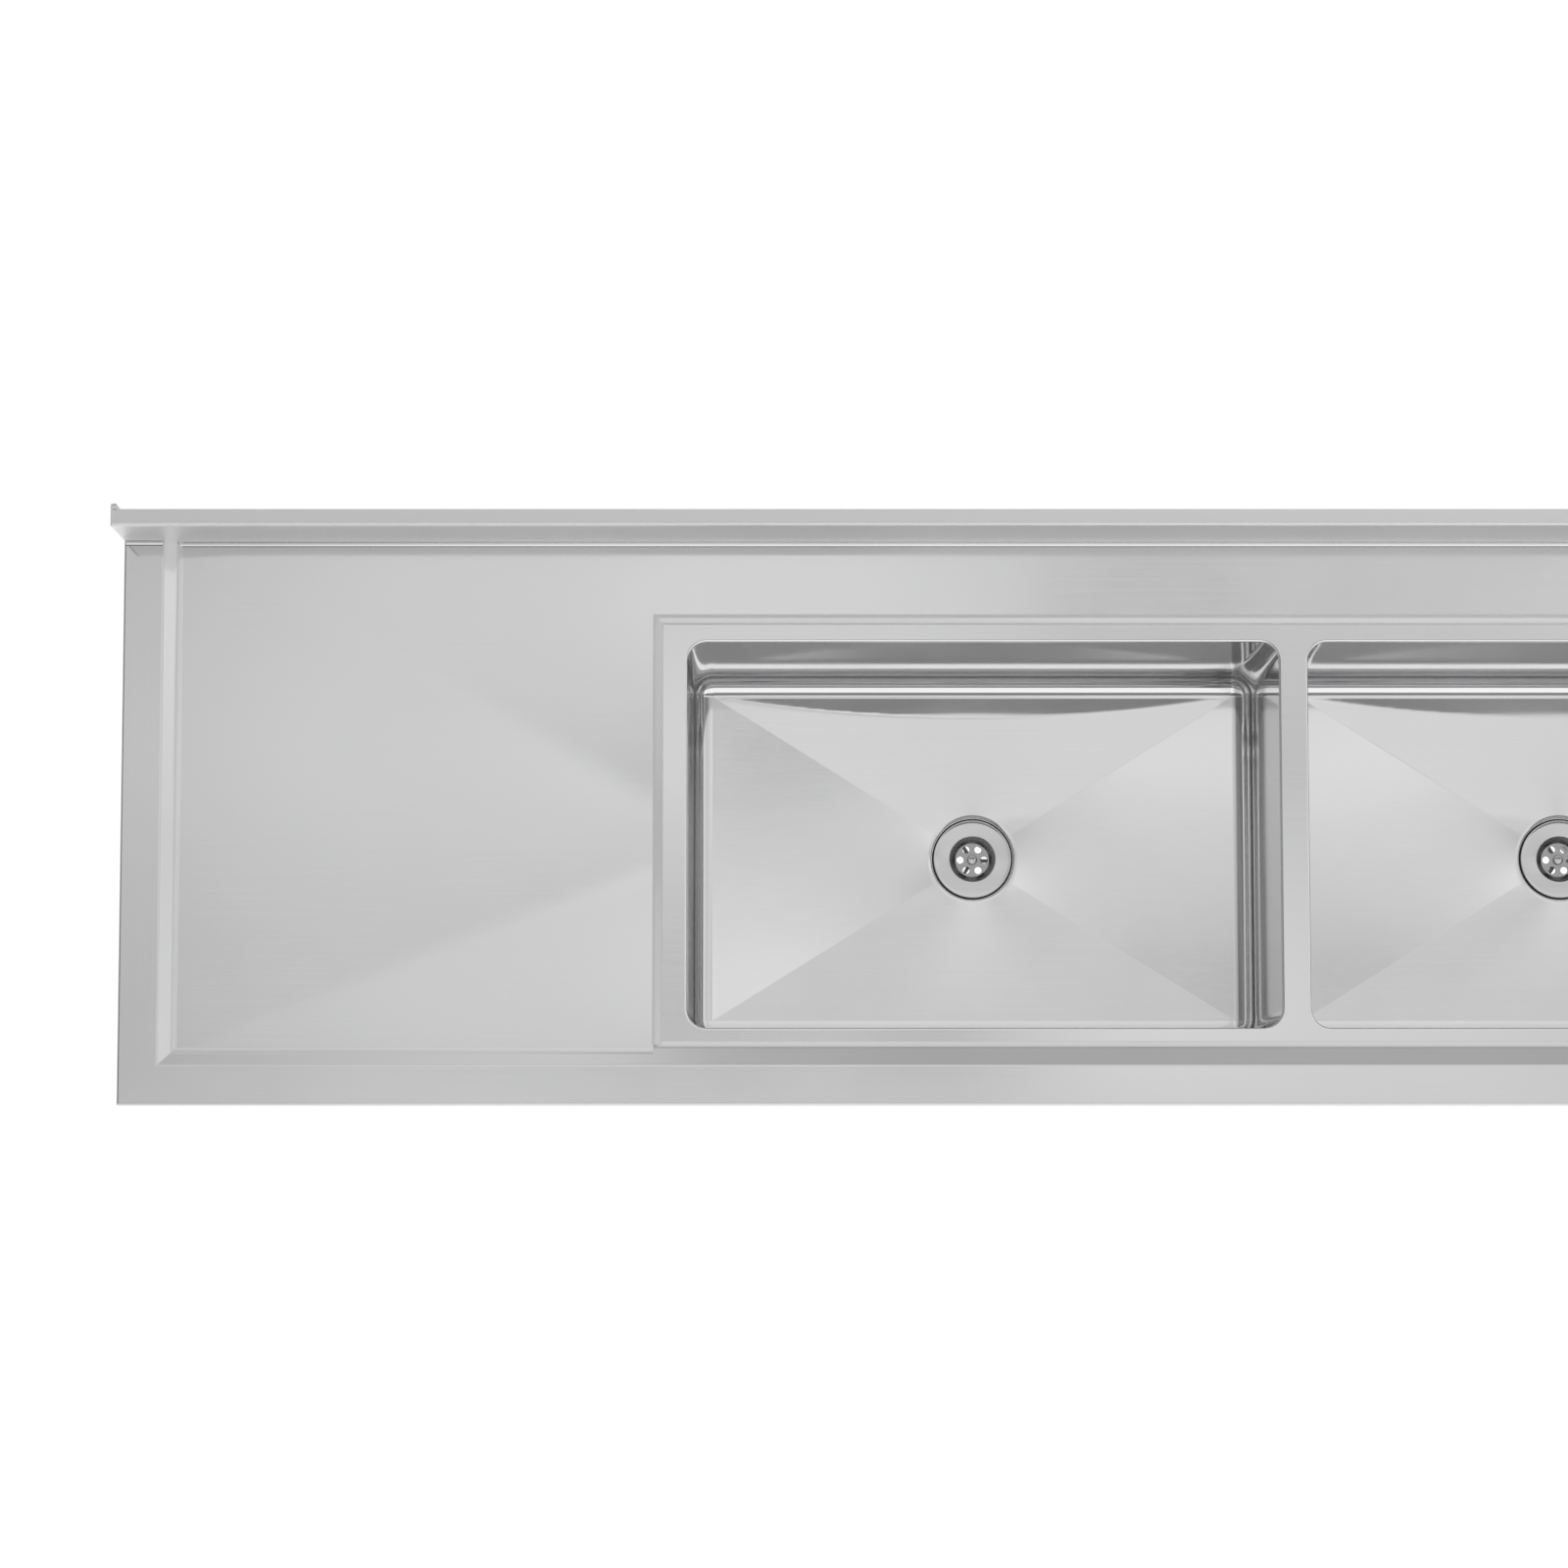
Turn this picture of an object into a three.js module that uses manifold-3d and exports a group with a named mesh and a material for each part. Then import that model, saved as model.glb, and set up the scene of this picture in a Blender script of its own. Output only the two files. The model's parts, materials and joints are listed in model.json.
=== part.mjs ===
// Three compartment commercial sink with a left drainboard, in stainless steel sheet.
// Millimetres, +Z up, +X to the right of a person standing at the sink, -Y the front.
// The origin is on the floor, below the middle of the sink.
import * as THREE from "three";
import { mergeVertices } from "three/addons/utils/BufferGeometryUtils.js";
import Module from "manifold-3d";

const wasm = await Module();
wasm.setup();

// ---------- driving dimensions ----------
const SHEET = 1.5; // steel sheet of the top and the bowls
const GAP = 0.3; // left between pieces that touch

const BOWL = { count: 3, width: 610, depth: 398, corner: 20, cove: 19.5 };
const DIVIDER = 30; // flat land between two bowls
const SEAM_LAND = 34; // flat land between the drainboard seam and the first bowl
const END_LAND = 31; // flat land right of the last bowl
const BOARD_LENGTH = 488; // drainboard, from the left step to the seam
const FRONT_LAND = 18; // flat land in front of the bowls
const BACK_LAND = 27; // flat land behind the bowls
const LEDGE = 76; // between the bowl land and the splash

const RIM = { width: 41, slope: 21, drop: 14, apron: 40, hem: 14 };
const RIM_HEIGHT = 900; // top of the raised edge above the floor
const BOARD_DROP = 10; // the drainboard's outer edge below the rim
const BOARD_WELD = 3; // between the edges' slope and the drainboard
const SPLASH = { height: 100, top: 18, rear: 25, tabDepth: 5, tabWidth: 6 };
const SPILLWAY = 76; // where the drainboard is flush with the land, between its two creases

const FLOOR_DEPTH = 300; // bowl floor's edge below the rim
const FLOOR_FALL = 10; // from the floor's edge down to the waste
const WASTE = {
  flange: 44,
  throat: 25.5,
  floorHole: 30,
  seat: 46,
  recess: 3, // the seat below the floor round it
  recessTaper: 1,
  grid: 9, // the grid below the seat
  seal: 1, // thickness of the seal under the flange
  sealRadius: 44.2,
  gasket: 3,
};
const FLANGE = {
  edge: 1, // width of the rolled edge
  crown: 0.3, // the edge above the floor round the seat
  edgeFall: 0.2,
  throatRound: 2,
  throatRise: 1,
  throatLip: 2.4,
  step: 2, // from the throat's wall to the flat under the flange
};
const HOLES = { count: 6, radius: 4.2, circle: 13 };
const SCREW = {
  radius: 2.9,
  head: 5.5,
  headHeight: 3,
  chamfer: 1.5,
  slot: 1.6,
  slotDepth: 1.2,
  hole: 3.4, // radius of the hole it passes through
  endSpace: 2, // its lower end above the boss's
};
const SPIDER = {
  arms: 3,
  belowGrid: 4,
  boss: 6,
  depth: 14,
  armFrom: 3.5,
  armTo: 28.5,
  armWidth: 3.5,
  armHeight: 9,
};
const OUTLET = {
  radius: 25,
  wall: 3,
  length: 68,
  cup: 29, // inner radius of its wide top
  cupDepth: 16,
  coneDepth: 27,
  collar: 3,
  collarDepth: 6,
};

const LEG = { radius: 20.65, wall: 1.5, end: 76 }; // end: from the sink's end to the leg's axis
const SOCKET = { length: 90, width: 50, plate: 3, cup: 50, rim: 4, shoulder: 6, shoulderDepth: 12 };
const INSERT = { lip: 3, length: 34, bore: 8.4 };
const FOOT = { height: 74.4, base: 13, heel: 15.5, heelHeight: 2.5, shin: 20, shinHeight: 34, belly: 20.4 };
const FOOT_TOP = { bellyHeight: 48, waist: 18, waistDepth: 14, neck: 14, neckDepth: 10 };
const FOOT_NUT = { radius: 19, sides: 6, topDepth: 3, bottomDepth: 12 };
const STUD = { radius: 8, length: 50 };
const CHANNEL = { width: 52, height: 23, wall: 2, end: 46, underTop: 0.7, frontSpace: 4, rearSpace: 12 };
const BRACES = [0.3, 0.72]; // where they stand, as shares of the drainboard's length
const RAIL = { radius: 12.7, wall: 1.5, height: 260 };
const WASTE_SIDES = 24; // sides of the wastes' round pieces
const SCREW_SIDES = 12;
const HOLE_SIDES = 10;
const ROUND = 20; // sides of the legs and feet
const RAIL_SIDES = 16;
const THROUGH = 30; // how far a cutting solid stands out of what it cuts

// ---------- places worked out from them ----------
const boardEdge = RIM.width + RIM.slope * (BOARD_DROP / RIM.drop) + BOARD_WELD;
const landEdge = RIM.width + RIM.slope;
const bowlsLength = BOWL.count * BOWL.width + (BOWL.count - 1) * DIVIDER;
const LENGTH = boardEdge + BOARD_LENGTH + SEAM_LAND + bowlsLength + END_LAND + landEdge;
const DEPTH = landEdge + FRONT_LAND + BOWL.depth + BACK_LAND + LEDGE + SPLASH.top + SPLASH.tabDepth;
const left = -LENGTH / 2;
const right = LENGTH / 2;
const front = -DEPTH / 2;
const back = DEPTH / 2;
const seamX = left + boardEdge + BOARD_LENGTH;
const bowlFront = front + landEdge + FRONT_LAND;
const bowlY = bowlFront + BOWL.depth / 2;
const landBack = bowlFront + BOWL.depth + BACK_LAND;
const splashY = landBack + LEDGE;
const boardZ = RIM_HEIGHT - BOARD_DROP;
const landZ = RIM_HEIGHT - RIM.drop;
const floorZ = RIM_HEIGHT - FLOOR_DEPTH;
const seatZ = floorZ - FLOOR_FALL - WASTE.recess;
const apronZ = RIM_HEIGHT - RIM.apron;
const channelTop = landZ - SHEET - CHANNEL.underTop;
const channelBottom = channelTop - CHANNEL.height;
const frontChannelY = bowlFront - CHANNEL.frontSpace - CHANNEL.width / 2;
const rearChannelY = bowlFront + BOWL.depth + CHANNEL.rearSpace + CHANNEL.width / 2;
const bowlX = [...Array(BOWL.count).keys()].map(
  (i) => seamX + SEAM_LAND + BOWL.width / 2 + i * (BOWL.width + DIVIDER),
);
const legColumns = [
  ["left", left + LEG.end],
  ["middle", (bowlX[0] + bowlX[1]) / 2],
  ["right", right - LEG.end],
];
const legRows = [
  ["front", frontChannelY],
  ["rear", rearChannelY],
];
const legFoot = FOOT.height + GAP + INSERT.lip + GAP; // the tube's lower end, above the insert's lip

// ---------- materials ----------
const steel = (roughness, colour = 0xc4c4c6) =>
  new THREE.MeshStandardMaterial({ color: colour, metalness: 1, roughness });
const satin = steel(0.28);
const bright = steel(0.15, 0xcccccd);
const tube = steel(0.32, 0xbdbdc0);
const galvanised = steel(0.5, 0xa9acb0);
const rubber = new THREE.MeshStandardMaterial({ color: 0x1c1c1e, metalness: 0, roughness: 0.8 });
const plastic = new THREE.MeshStandardMaterial({ color: 0x3a3b3e, metalness: 0, roughness: 0.5 });

// ---------- solids ----------
// A closed triangle soup, as a flat list of Vector3, as a solid that faces out.
function solidOf(points) {
  const soup = new THREE.BufferGeometry().setFromPoints(points);
  const merged = mergeVertices(soup, 1e-4);
  const triangles = new Uint32Array(merged.index.array);
  const make = () =>
    new wasm.Manifold(
      new wasm.Mesh({
        numProp: 3,
        vertProperties: merged.attributes.position.array,
        triVerts: triangles,
      }),
    );
  const solid = make();
  if (solid.volume() > 0) return solid;
  for (let i = 0; i < triangles.length; i += 3)
    [triangles[i], triangles[i + 1]] = [triangles[i + 1], triangles[i]];
  return make();
}

// A three.js geometry, moved to a place, as a solid.
function solidFrom(geometry, x = 0, y = 0, z = 0) {
  const flat = geometry.index ? geometry.toNonIndexed() : geometry;
  const p = flat.getAttribute("position");
  const at = new THREE.Vector3(x, y, z);
  const points = [...Array(p.count).keys()].map((i) =>
    new THREE.Vector3().fromBufferAttribute(p, i).add(at),
  );
  return solidOf(points);
}

function geometryOf(solid) {
  const m = solid.getMesh();
  return new THREE.BufferGeometry()
    .setAttribute("position", new THREE.BufferAttribute(m.vertProperties, 3))
    .setIndex(new THREE.BufferAttribute(m.triVerts, 1))
    .toNonIndexed();
}

const box = (x0, x1, y0, y1, z0, z1) =>
  solidFrom(
    new THREE.BoxGeometry(x1 - x0, y1 - y0, z1 - z0),
    (x0 + x1) / 2,
    (y0 + y1) / 2,
    (z0 + z1) / 2,
  );

// An upright cylinder or prism between two heights.
function upright(radius, z0, z1, x = 0, y = 0, sides = ROUND, turn = 0) {
  const g = new THREE.CylinderGeometry(radius, radius, z1 - z0, sides);
  g.rotateX(Math.PI / 2).rotateZ(turn);
  return solidFrom(g, x, y, (z0 + z1) / 2);
}

// A solid of revolution about Z, from [radius, height] points that start and end on the axis or close.
function turned(profile, x = 0, y = 0, sides = ROUND) {
  const g = new THREE.LatheGeometry(
    profile.map(([r, z]) => new THREE.Vector2(r, z)),
    sides,
  );
  g.rotateX(Math.PI / 2);
  const flat = g.toNonIndexed().getAttribute("position");
  const points = [];
  for (let i = 0; i < flat.count; i += 3) {
    const t = [0, 1, 2].map((k) => new THREE.Vector3().fromBufferAttribute(flat, i + k));
    const area = t[1].clone().sub(t[0]).cross(t[2].clone().sub(t[0])).length();
    if (area > 1e-6) points.push(...t.map((v) => v.add(new THREE.Vector3(x, y, 0))));
  }
  return solidOf(points);
}

// A prism between two copies of a flat outline, each placed by its own function of the outline's point.
function prism(outline, placeStart, placeEnd) {
  const flat = outline.map(([a, b]) => new THREE.Vector2(a, b));
  const a = outline.map((p) => placeStart(...p));
  const b = outline.map((p) => placeEnd(...p));
  const points = [];
  for (const [i, j, k] of THREE.ShapeUtils.triangulateShape(flat, [])) {
    points.push(a[i], a[j], a[k], b[i], b[k], b[j]);
  }
  outline.forEach((_, i) => {
    const j = (i + 1) % outline.length;
    points.push(a[i], b[j], a[j], a[i], b[i], b[j]);
  });
  const clockwise = THREE.ShapeUtils.isClockWise(flat);
  const facing = [];
  for (let i = 0; i < points.length; i += 3) {
    const [p, q, r] = points.slice(i, i + 3);
    facing.push(...(clockwise ? [p, r, q] : [p, q, r]));
  }
  return solidOf(facing);
}

// A folded sheet's section: a path of its outer side, thickened towards the path's left-hand side.
function folded(path, thickness = SHEET) {
  const side = (i) => {
    const [x0, y0] = path[i];
    const [x1, y1] = path[i + 1];
    const run = Math.hypot(x1 - x0, y1 - y0);
    return [-(y1 - y0) / run, (x1 - x0) / run];
  };
  const inner = path.map(([x, y], i) => {
    const before = side(Math.max(0, i - 1));
    const after = side(Math.min(path.length - 2, i));
    const sum = [before[0] + after[0], before[1] + after[1]];
    const scale = thickness / (1 + before[0] * after[0] + before[1] * after[1]);
    return [x + sum[0] * scale, y + sum[1] * scale];
  });
  return [...path, ...inner.reverse()];
}

// A closed solid through a stack of rings. Each ring is a list of {p: Vector3, t: 0..1 round the ring},
// so rings may have different numbers of points.
function loft(rings) {
  const points = [];
  const cap = (ring, flip) => {
    const middle = new THREE.Vector3();
    ring.forEach((v) => middle.add(v.p));
    middle.divideScalar(ring.length);
    ring.forEach((v, i) => {
      const next = ring[(i + 1) % ring.length];
      points.push(middle, flip ? next.p : v.p, flip ? v.p : next.p);
    });
  };
  for (let k = 0; k + 1 < rings.length; k++) {
    const [a, b] = [rings[k], rings[k + 1]];
    const at = (ring, i) => ring[i % ring.length].t + Math.floor(i / ring.length);
    let i = 0;
    let j = 0;
    while (i < a.length || j < b.length) {
      const [p, q] = [a[i % a.length].p, b[j % b.length].p];
      if (j >= b.length || (i < a.length && at(a, i + 1) <= at(b, j + 1))) {
        points.push(p, q, a[(i + 1) % a.length].p);
        i++;
      } else {
        points.push(p, q, b[(j + 1) % b.length].p);
        j++;
      }
    }
  }
  cap(rings[0], false);
  cap(rings[rings.length - 1], true);
  return solidOf(points);
}

// ---------- outlines ----------
const CORNER_STEPS = 5;
const COVE_STEPS = 4;
const CORNER_SHARE = 0.02; // of the way round a ring, taken by one corner's points
const LONG_STEPS = 7; // of a waste circle, opposite a bowl's long sides
const SHORT_STEPS = 5;

// A rectangle with round corners about the bowl's middle. Each corner's points share nearly one t.
function bowlOutline(cx, grow, z) {
  const radius = BOWL.corner + grow;
  const halfWidth = BOWL.width / 2 + grow - radius;
  const halfDepth = BOWL.depth / 2 + grow - radius;
  const ring = [];
  [0, 1, 2, 3].forEach((corner) => {
    const sx = corner === 0 || corner === 3 ? 1 : -1;
    const sy = corner < 2 ? 1 : -1;
    for (let s = 0; s <= CORNER_STEPS; s++) {
      const angle = (corner + s / CORNER_STEPS) * (Math.PI / 2);
      const x = cx + sx * halfWidth + radius * Math.cos(angle);
      const y = bowlY + sy * halfDepth + radius * Math.sin(angle);
      const t = corner / 4 + CORNER_SHARE * (s / CORNER_STEPS);
      ring.push({ p: new THREE.Vector3(x, y, z), t });
    }
  });
  return ring;
}

// A circle about the waste, whose t agrees with bowlOutline's at the floor's diagonal creases.
function wasteCircle(cx, radius, z) {
  const crease = Math.atan2(BOWL.depth, BOWL.width);
  const corners = [crease, Math.PI - crease, Math.PI + crease, 2 * Math.PI - crease];
  const ring = [];
  corners.forEach((start, corner) => {
    const end = corner < 3 ? corners[corner + 1] : 2 * Math.PI + crease;
    const steps = corner % 2 ? SHORT_STEPS : LONG_STEPS;
    for (let s = 0; s < steps; s++) {
      const angle = start + ((end - start) * s) / steps;
      const t = corner / 4 + CORNER_SHARE / 2 + s / steps / 4;
      const x = cx + radius * Math.cos(angle);
      const y = bowlY + radius * Math.sin(angle);
      ring.push({ p: new THREE.Vector3(x, y, z), t });
    }
  });
  return ring;
}

// The space inside a bowl (grow 0) or its outer skin (grow and drop the sheet's thickness).
function bowlForm(cx, grow, drop, top) {
  const rings = [bowlOutline(cx, grow, top)];
  for (let s = 0; s <= COVE_STEPS; s++) {
    const angle = (s / COVE_STEPS) * (Math.PI / 2);
    const inset = BOWL.cove * (1 - Math.cos(angle));
    const rise = BOWL.cove * (1 - Math.sin(angle));
    rings.push(bowlOutline(cx, grow - inset, floorZ + rise - drop));
  }
  rings.push(wasteCircle(cx, WASTE.seat + drop, floorZ - FLOOR_FALL - drop));
  rings.push(wasteCircle(cx, WASTE.seat - WASTE.recessTaper + drop, seatZ - drop));
  return loft(rings);
}

// ---------- the top ----------
const rimPath = [
  [RIM.hem, apronZ],
  [0, apronZ],
  [0, RIM_HEIGHT],
  [RIM.width, RIM_HEIGHT],
  [landEdge, landZ],
];

// The raised edge's section as [distance in from the outer face, height].
const rimSection = folded([...rimPath].reverse());
const mitre = GAP / 2;

const frontEdge = () =>
  prism(
    rimSection,
    (q, z) => new THREE.Vector3(left + q + mitre, front + q, z),
    (q, z) => new THREE.Vector3(right - q - mitre, front + q, z),
  );

const sideEdge = (x, inward) =>
  prism(
    rimSection,
    (q, z) => new THREE.Vector3(x + inward * q, front + q + mitre, z),
    (q, z) => new THREE.Vector3(x + inward * q, splashY - GAP, z),
  );

// A sheet laid on top points that all have a height, with flat sides. Faces are triples of indices.
function sheetOn(top, faces) {
  const down = new THREE.Vector3(0, 0, -SHEET);
  const under = top.map((v) => v.clone().add(down));
  const points = [];
  const edges = new Map();
  for (const [i, j, k] of faces) {
    points.push(top[i], top[j], top[k], under[i], under[k], under[j]);
    [[i, j], [j, k], [k, i]].forEach(([a, b]) => {
      if (!edges.delete(`${b},${a}`)) edges.set(`${a},${b}`, [a, b]);
    });
  }
  for (const [a, b] of edges.values())
    points.push(top[b], top[a], under[a], top[b], under[a], under[b]);
  return solidOf(points);
}

// The drainboard and the ledge behind the bowls are one sheet. It falls from the rim and the splash
// to a spillway in the middle of the seam, with a crease to the spillway from each left corner.
function drainboard() {
  const x0 = left + boardEdge;
  const x1 = seamX - GAP / 2;
  const x2 = right - landEdge - GAP;
  const y0 = front + boardEdge;
  const y1 = landBack + GAP / 2;
  const y2 = splashY - GAP;
  const spillBack = bowlY + SPILLWAY / 2;
  const ledgeZ = boardZ - ((boardZ - landZ) * (y2 - y1)) / (y2 - spillBack);
  const top = [
    [x0, y0, boardZ],
    [x0, y2, boardZ],
    [x1, y0, boardZ],
    [x1, bowlY - SPILLWAY / 2, landZ],
    [x1, spillBack, landZ],
    [x1, y1, ledgeZ],
    [x2, y1, ledgeZ],
    [x2, y2, boardZ],
  ].map((v) => new THREE.Vector3(...v));
  return sheetOn(top, [
    [0, 2, 3],
    [0, 3, 4],
    [0, 4, 1],
    [1, 4, 5],
    [1, 5, 6],
    [1, 6, 7],
  ]);
}

function bowlSurround() {
  const x0 = seamX + GAP / 2;
  const x1 = right - landEdge - GAP;
  const y0 = front + landEdge + GAP;
  const y1 = landBack - GAP / 2;
  const plate = box(x0, x1, y0, y1, landZ - SHEET, landZ);
  return bowlX.reduce(
    (s, cx) =>
      s.subtract(loft([bowlOutline(cx, 0, landZ - 2 * SHEET), bowlOutline(cx, 0, landZ + SHEET)])),
    plate,
  );
}

function bowl(cx) {
  const top = landZ - SHEET - GAP;
  const skin = bowlForm(cx, SHEET, SHEET, top);
  const space = bowlForm(cx, 0, 0, top + SHEET);
  const hole = upright(WASTE.floorHole, seatZ - THROUGH, seatZ + THROUGH, cx, bowlY);
  return skin.subtract(space).subtract(hole);
}

function backsplash() {
  const z = RIM_HEIGHT + SPLASH.height;
  const y = splashY;
  const path = [
    [y + SPLASH.top, z - SPLASH.rear],
    [y + SPLASH.top, z],
    [y, z],
    [y, apronZ],
  ];
  const end = SHEET + GAP;
  return prism(
    folded(path),
    (a, b) => new THREE.Vector3(left + end, a, b),
    (a, b) => new THREE.Vector3(right - end, a, b),
  );
}

// The plate that closes the splash's end, with a narrow tab at the rear that meets the wall.
function splashEnd(x, inward) {
  const path = [
    [x + inward * SPLASH.tabWidth, back],
    [x, back],
    [x, splashY + GAP],
  ];
  const outline = inward > 0 ? folded(path) : folded([...path].reverse());
  return prism(
    outline,
    (a, b) => new THREE.Vector3(a, b, apronZ),
    (a, b) => new THREE.Vector3(a, b, RIM_HEIGHT + SPLASH.height),
  );
}

// ---------- the wastes ----------
const gridTop = seatZ - WASTE.grid;
const bossTop = gridTop - SHEET - SPIDER.belowGrid;
const flangeTop = floorZ - FLOOR_FALL;
const gasketTop = seatZ - SHEET - GAP;

// The flange, its throat and the grid in the bottom of the throat are one pressing.
function wasteFlange(cx) {
  const { flange, throat, seal } = WASTE;
  const wall = throat + SHEET;
  const under = seatZ + seal + 2 * GAP;
  const dish = turned(
    [
      [0, gridTop],
      [throat, gridTop],
      [throat, seatZ + FLANGE.throatRise],
      [throat + FLANGE.throatRound, seatZ + FLANGE.throatLip],
      [flange - FLANGE.edge, flangeTop + FLANGE.crown],
      [flange, flangeTop - FLANGE.edgeFall],
      [flange, under],
      [wall + FLANGE.step, under],
      [wall, seatZ - FLANGE.throatRise],
      [wall, gridTop - SHEET],
      [0, gridTop - SHEET],
    ],
    cx,
    bowlY,
    WASTE_SIDES,
  );
  const drill = (radius, x, y) =>
    upright(radius, gridTop - THROUGH, gridTop + THROUGH, x, y, HOLE_SIDES);
  let plate = dish.subtract(drill(SCREW.hole, cx, bowlY));
  for (let i = 0; i < HOLES.count; i++) {
    const angle = (i / HOLES.count) * 2 * Math.PI;
    const [x, y] = [cx + HOLES.circle * Math.cos(angle), bowlY + HOLES.circle * Math.sin(angle)];
    plate = plate.subtract(drill(HOLES.radius, x, y));
  }
  return plate;
}

function wasteScrew(cx) {
  const { radius, head, headHeight, chamfer, slot, slotDepth } = SCREW;
  const seat = gridTop + GAP;
  const top = seat + headHeight;
  const end = bossTop - SPIDER.depth + SCREW.endSpace;
  const screw = turned(
    [
      [0, top],
      [head - chamfer, top],
      [head, top - chamfer],
      [head, seat],
      [radius, seat],
      [radius, end],
      [0, end],
    ],
    cx,
    bowlY,
    SCREW_SIDES,
  );
  const cut = box(cx - head, cx + head, bowlY - slot / 2, bowlY + slot / 2, top - slotDepth, top + slotDepth);
  return screw.subtract(cut);
}

// A flat ring between two heights.
const washer = (cx, inner, outer, z0, z1) =>
  upright(outer, z0, z1, cx, bowlY, WASTE_SIDES).subtract(
    upright(inner, z0 - THROUGH, z1 + THROUGH, cx, bowlY, WASTE_SIDES),
  );

const wasteSeal = (cx) =>
  washer(cx, WASTE.floorHole, WASTE.sealRadius, seatZ + GAP, seatZ + GAP + WASTE.seal);

const wasteGasket = (cx) =>
  washer(cx, WASTE.floorHole, WASTE.flange, gasketTop - WASTE.gasket, gasketTop);

// The tube under the bowl, with the three-armed spider that the centre screw pulls up.
function wasteBody(cx) {
  const top = gasketTop - WASTE.gasket - GAP;
  const { radius, wall, cup, cupDepth, coneDepth, collar, collarDepth } = OUTLET;
  const end = top - OUTLET.length;
  const shell = turned(
    [
      [cup, top],
      [cup, top - cupDepth],
      [radius - wall, top - coneDepth],
      [radius - wall, end],
      [radius, end],
      [radius, top - coneDepth],
      [cup + wall, top - cupDepth],
      [cup + wall, top - collarDepth],
      [WASTE.flange, top - collar],
      [WASTE.flange, top],
      [cup, top],
    ],
    cx,
    bowlY,
    WASTE_SIDES,
  );
  const bossEnd = bossTop - SPIDER.depth;
  const armMiddle = (SPIDER.armFrom + SPIDER.armTo) / 2;
  let body = shell.add(upright(SPIDER.boss, bossEnd, bossTop, cx, bowlY, SCREW_SIDES));
  for (let i = 0; i < SPIDER.arms; i++) {
    const arm = new THREE.BoxGeometry(SPIDER.armTo - SPIDER.armFrom, SPIDER.armWidth, SPIDER.armHeight);
    arm.translate(armMiddle, 0, 0).rotateZ((i / SPIDER.arms) * 2 * Math.PI);
    body = body.add(solidFrom(arm, cx, bowlY, (bossTop + bossEnd) / 2));
  }
  return body.subtract(upright(SCREW.hole, bossEnd - SHEET, bossTop + SHEET, cx, bowlY, HOLE_SIDES));
}

// ---------- the frame under the top ----------
const channelSection = (y) =>
  folded(
    [
      [y + CHANNEL.width / 2, channelBottom],
      [y + CHANNEL.width / 2, channelTop],
      [y - CHANNEL.width / 2, channelTop],
      [y - CHANNEL.width / 2, channelBottom],
    ],
    CHANNEL.wall,
  );

const channel = (y) =>
  prism(
    channelSection(y),
    (a, b) => new THREE.Vector3(left + CHANNEL.end, a, b),
    (a, b) => new THREE.Vector3(right - CHANNEL.end, a, b),
  );

const boardBrace = (x) =>
  prism(
    channelSection(x),
    (a, b) => new THREE.Vector3(a, frontChannelY + CHANNEL.width / 2 + GAP, b),
    (a, b) => new THREE.Vector3(a, rearChannelY - CHANNEL.width / 2 - GAP, b),
  );

const socketTop = channelBottom - GAP;

function legSocket(x, y) {
  const inner = LEG.radius + GAP;
  const plateBottom = socketTop - SOCKET.plate;
  const cup = turned(
    [
      [inner, socketTop - SOCKET.cup],
      [inner + SOCKET.rim, socketTop - SOCKET.cup],
      [inner + SOCKET.shoulder, socketTop - SOCKET.shoulderDepth],
      [inner + SOCKET.shoulder, plateBottom],
      [inner, plateBottom],
      [inner, socketTop - SOCKET.cup],
    ],
    x,
    y,
  );
  const [halfLength, halfWidth] = [SOCKET.length / 2, SOCKET.width / 2];
  return cup.add(
    box(x - halfLength, x + halfLength, y - halfWidth, y + halfWidth, plateBottom, socketTop),
  );
}

function leg(x, y) {
  const top = socketTop - SOCKET.plate - GAP;
  const inside = upright(LEG.radius - LEG.wall, legFoot - THROUGH, top + THROUGH, x, y);
  return upright(LEG.radius, legFoot, top, x, y).subtract(inside);
}

function legInsert(x, y) {
  const radius = LEG.radius - LEG.wall - GAP;
  const bottom = FOOT.height + GAP;
  return turned(
    [
      [INSERT.bore, bottom],
      [LEG.radius, bottom],
      [LEG.radius, bottom + INSERT.lip],
      [radius, bottom + INSERT.lip],
      [radius, bottom + INSERT.length],
      [INSERT.bore, bottom + INSERT.length],
      [INSERT.bore, bottom],
    ],
    x,
    y,
  );
}

function foot(x, y) {
  const top = FOOT.height;
  const { waist, waistDepth, neck, neckDepth, bellyHeight } = FOOT_TOP;
  const bullet = turned(
    [
      [0, 0],
      [FOOT.base, 0],
      [FOOT.heel, FOOT.heelHeight],
      [FOOT.shin, FOOT.shinHeight],
      [FOOT.belly, bellyHeight],
      [waist, top - waistDepth],
      [neck, top - neckDepth],
      [neck, top],
      [STUD.radius, top],
      [STUD.radius, top + STUD.length],
      [0, top + STUD.length],
    ],
    x,
    y,
  );
  const nutBottom = top - FOOT_NUT.bottomDepth;
  return bullet.add(upright(FOOT_NUT.radius, nutBottom, top - FOOT_NUT.topDepth, x, y, FOOT_NUT.sides));
}

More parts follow.
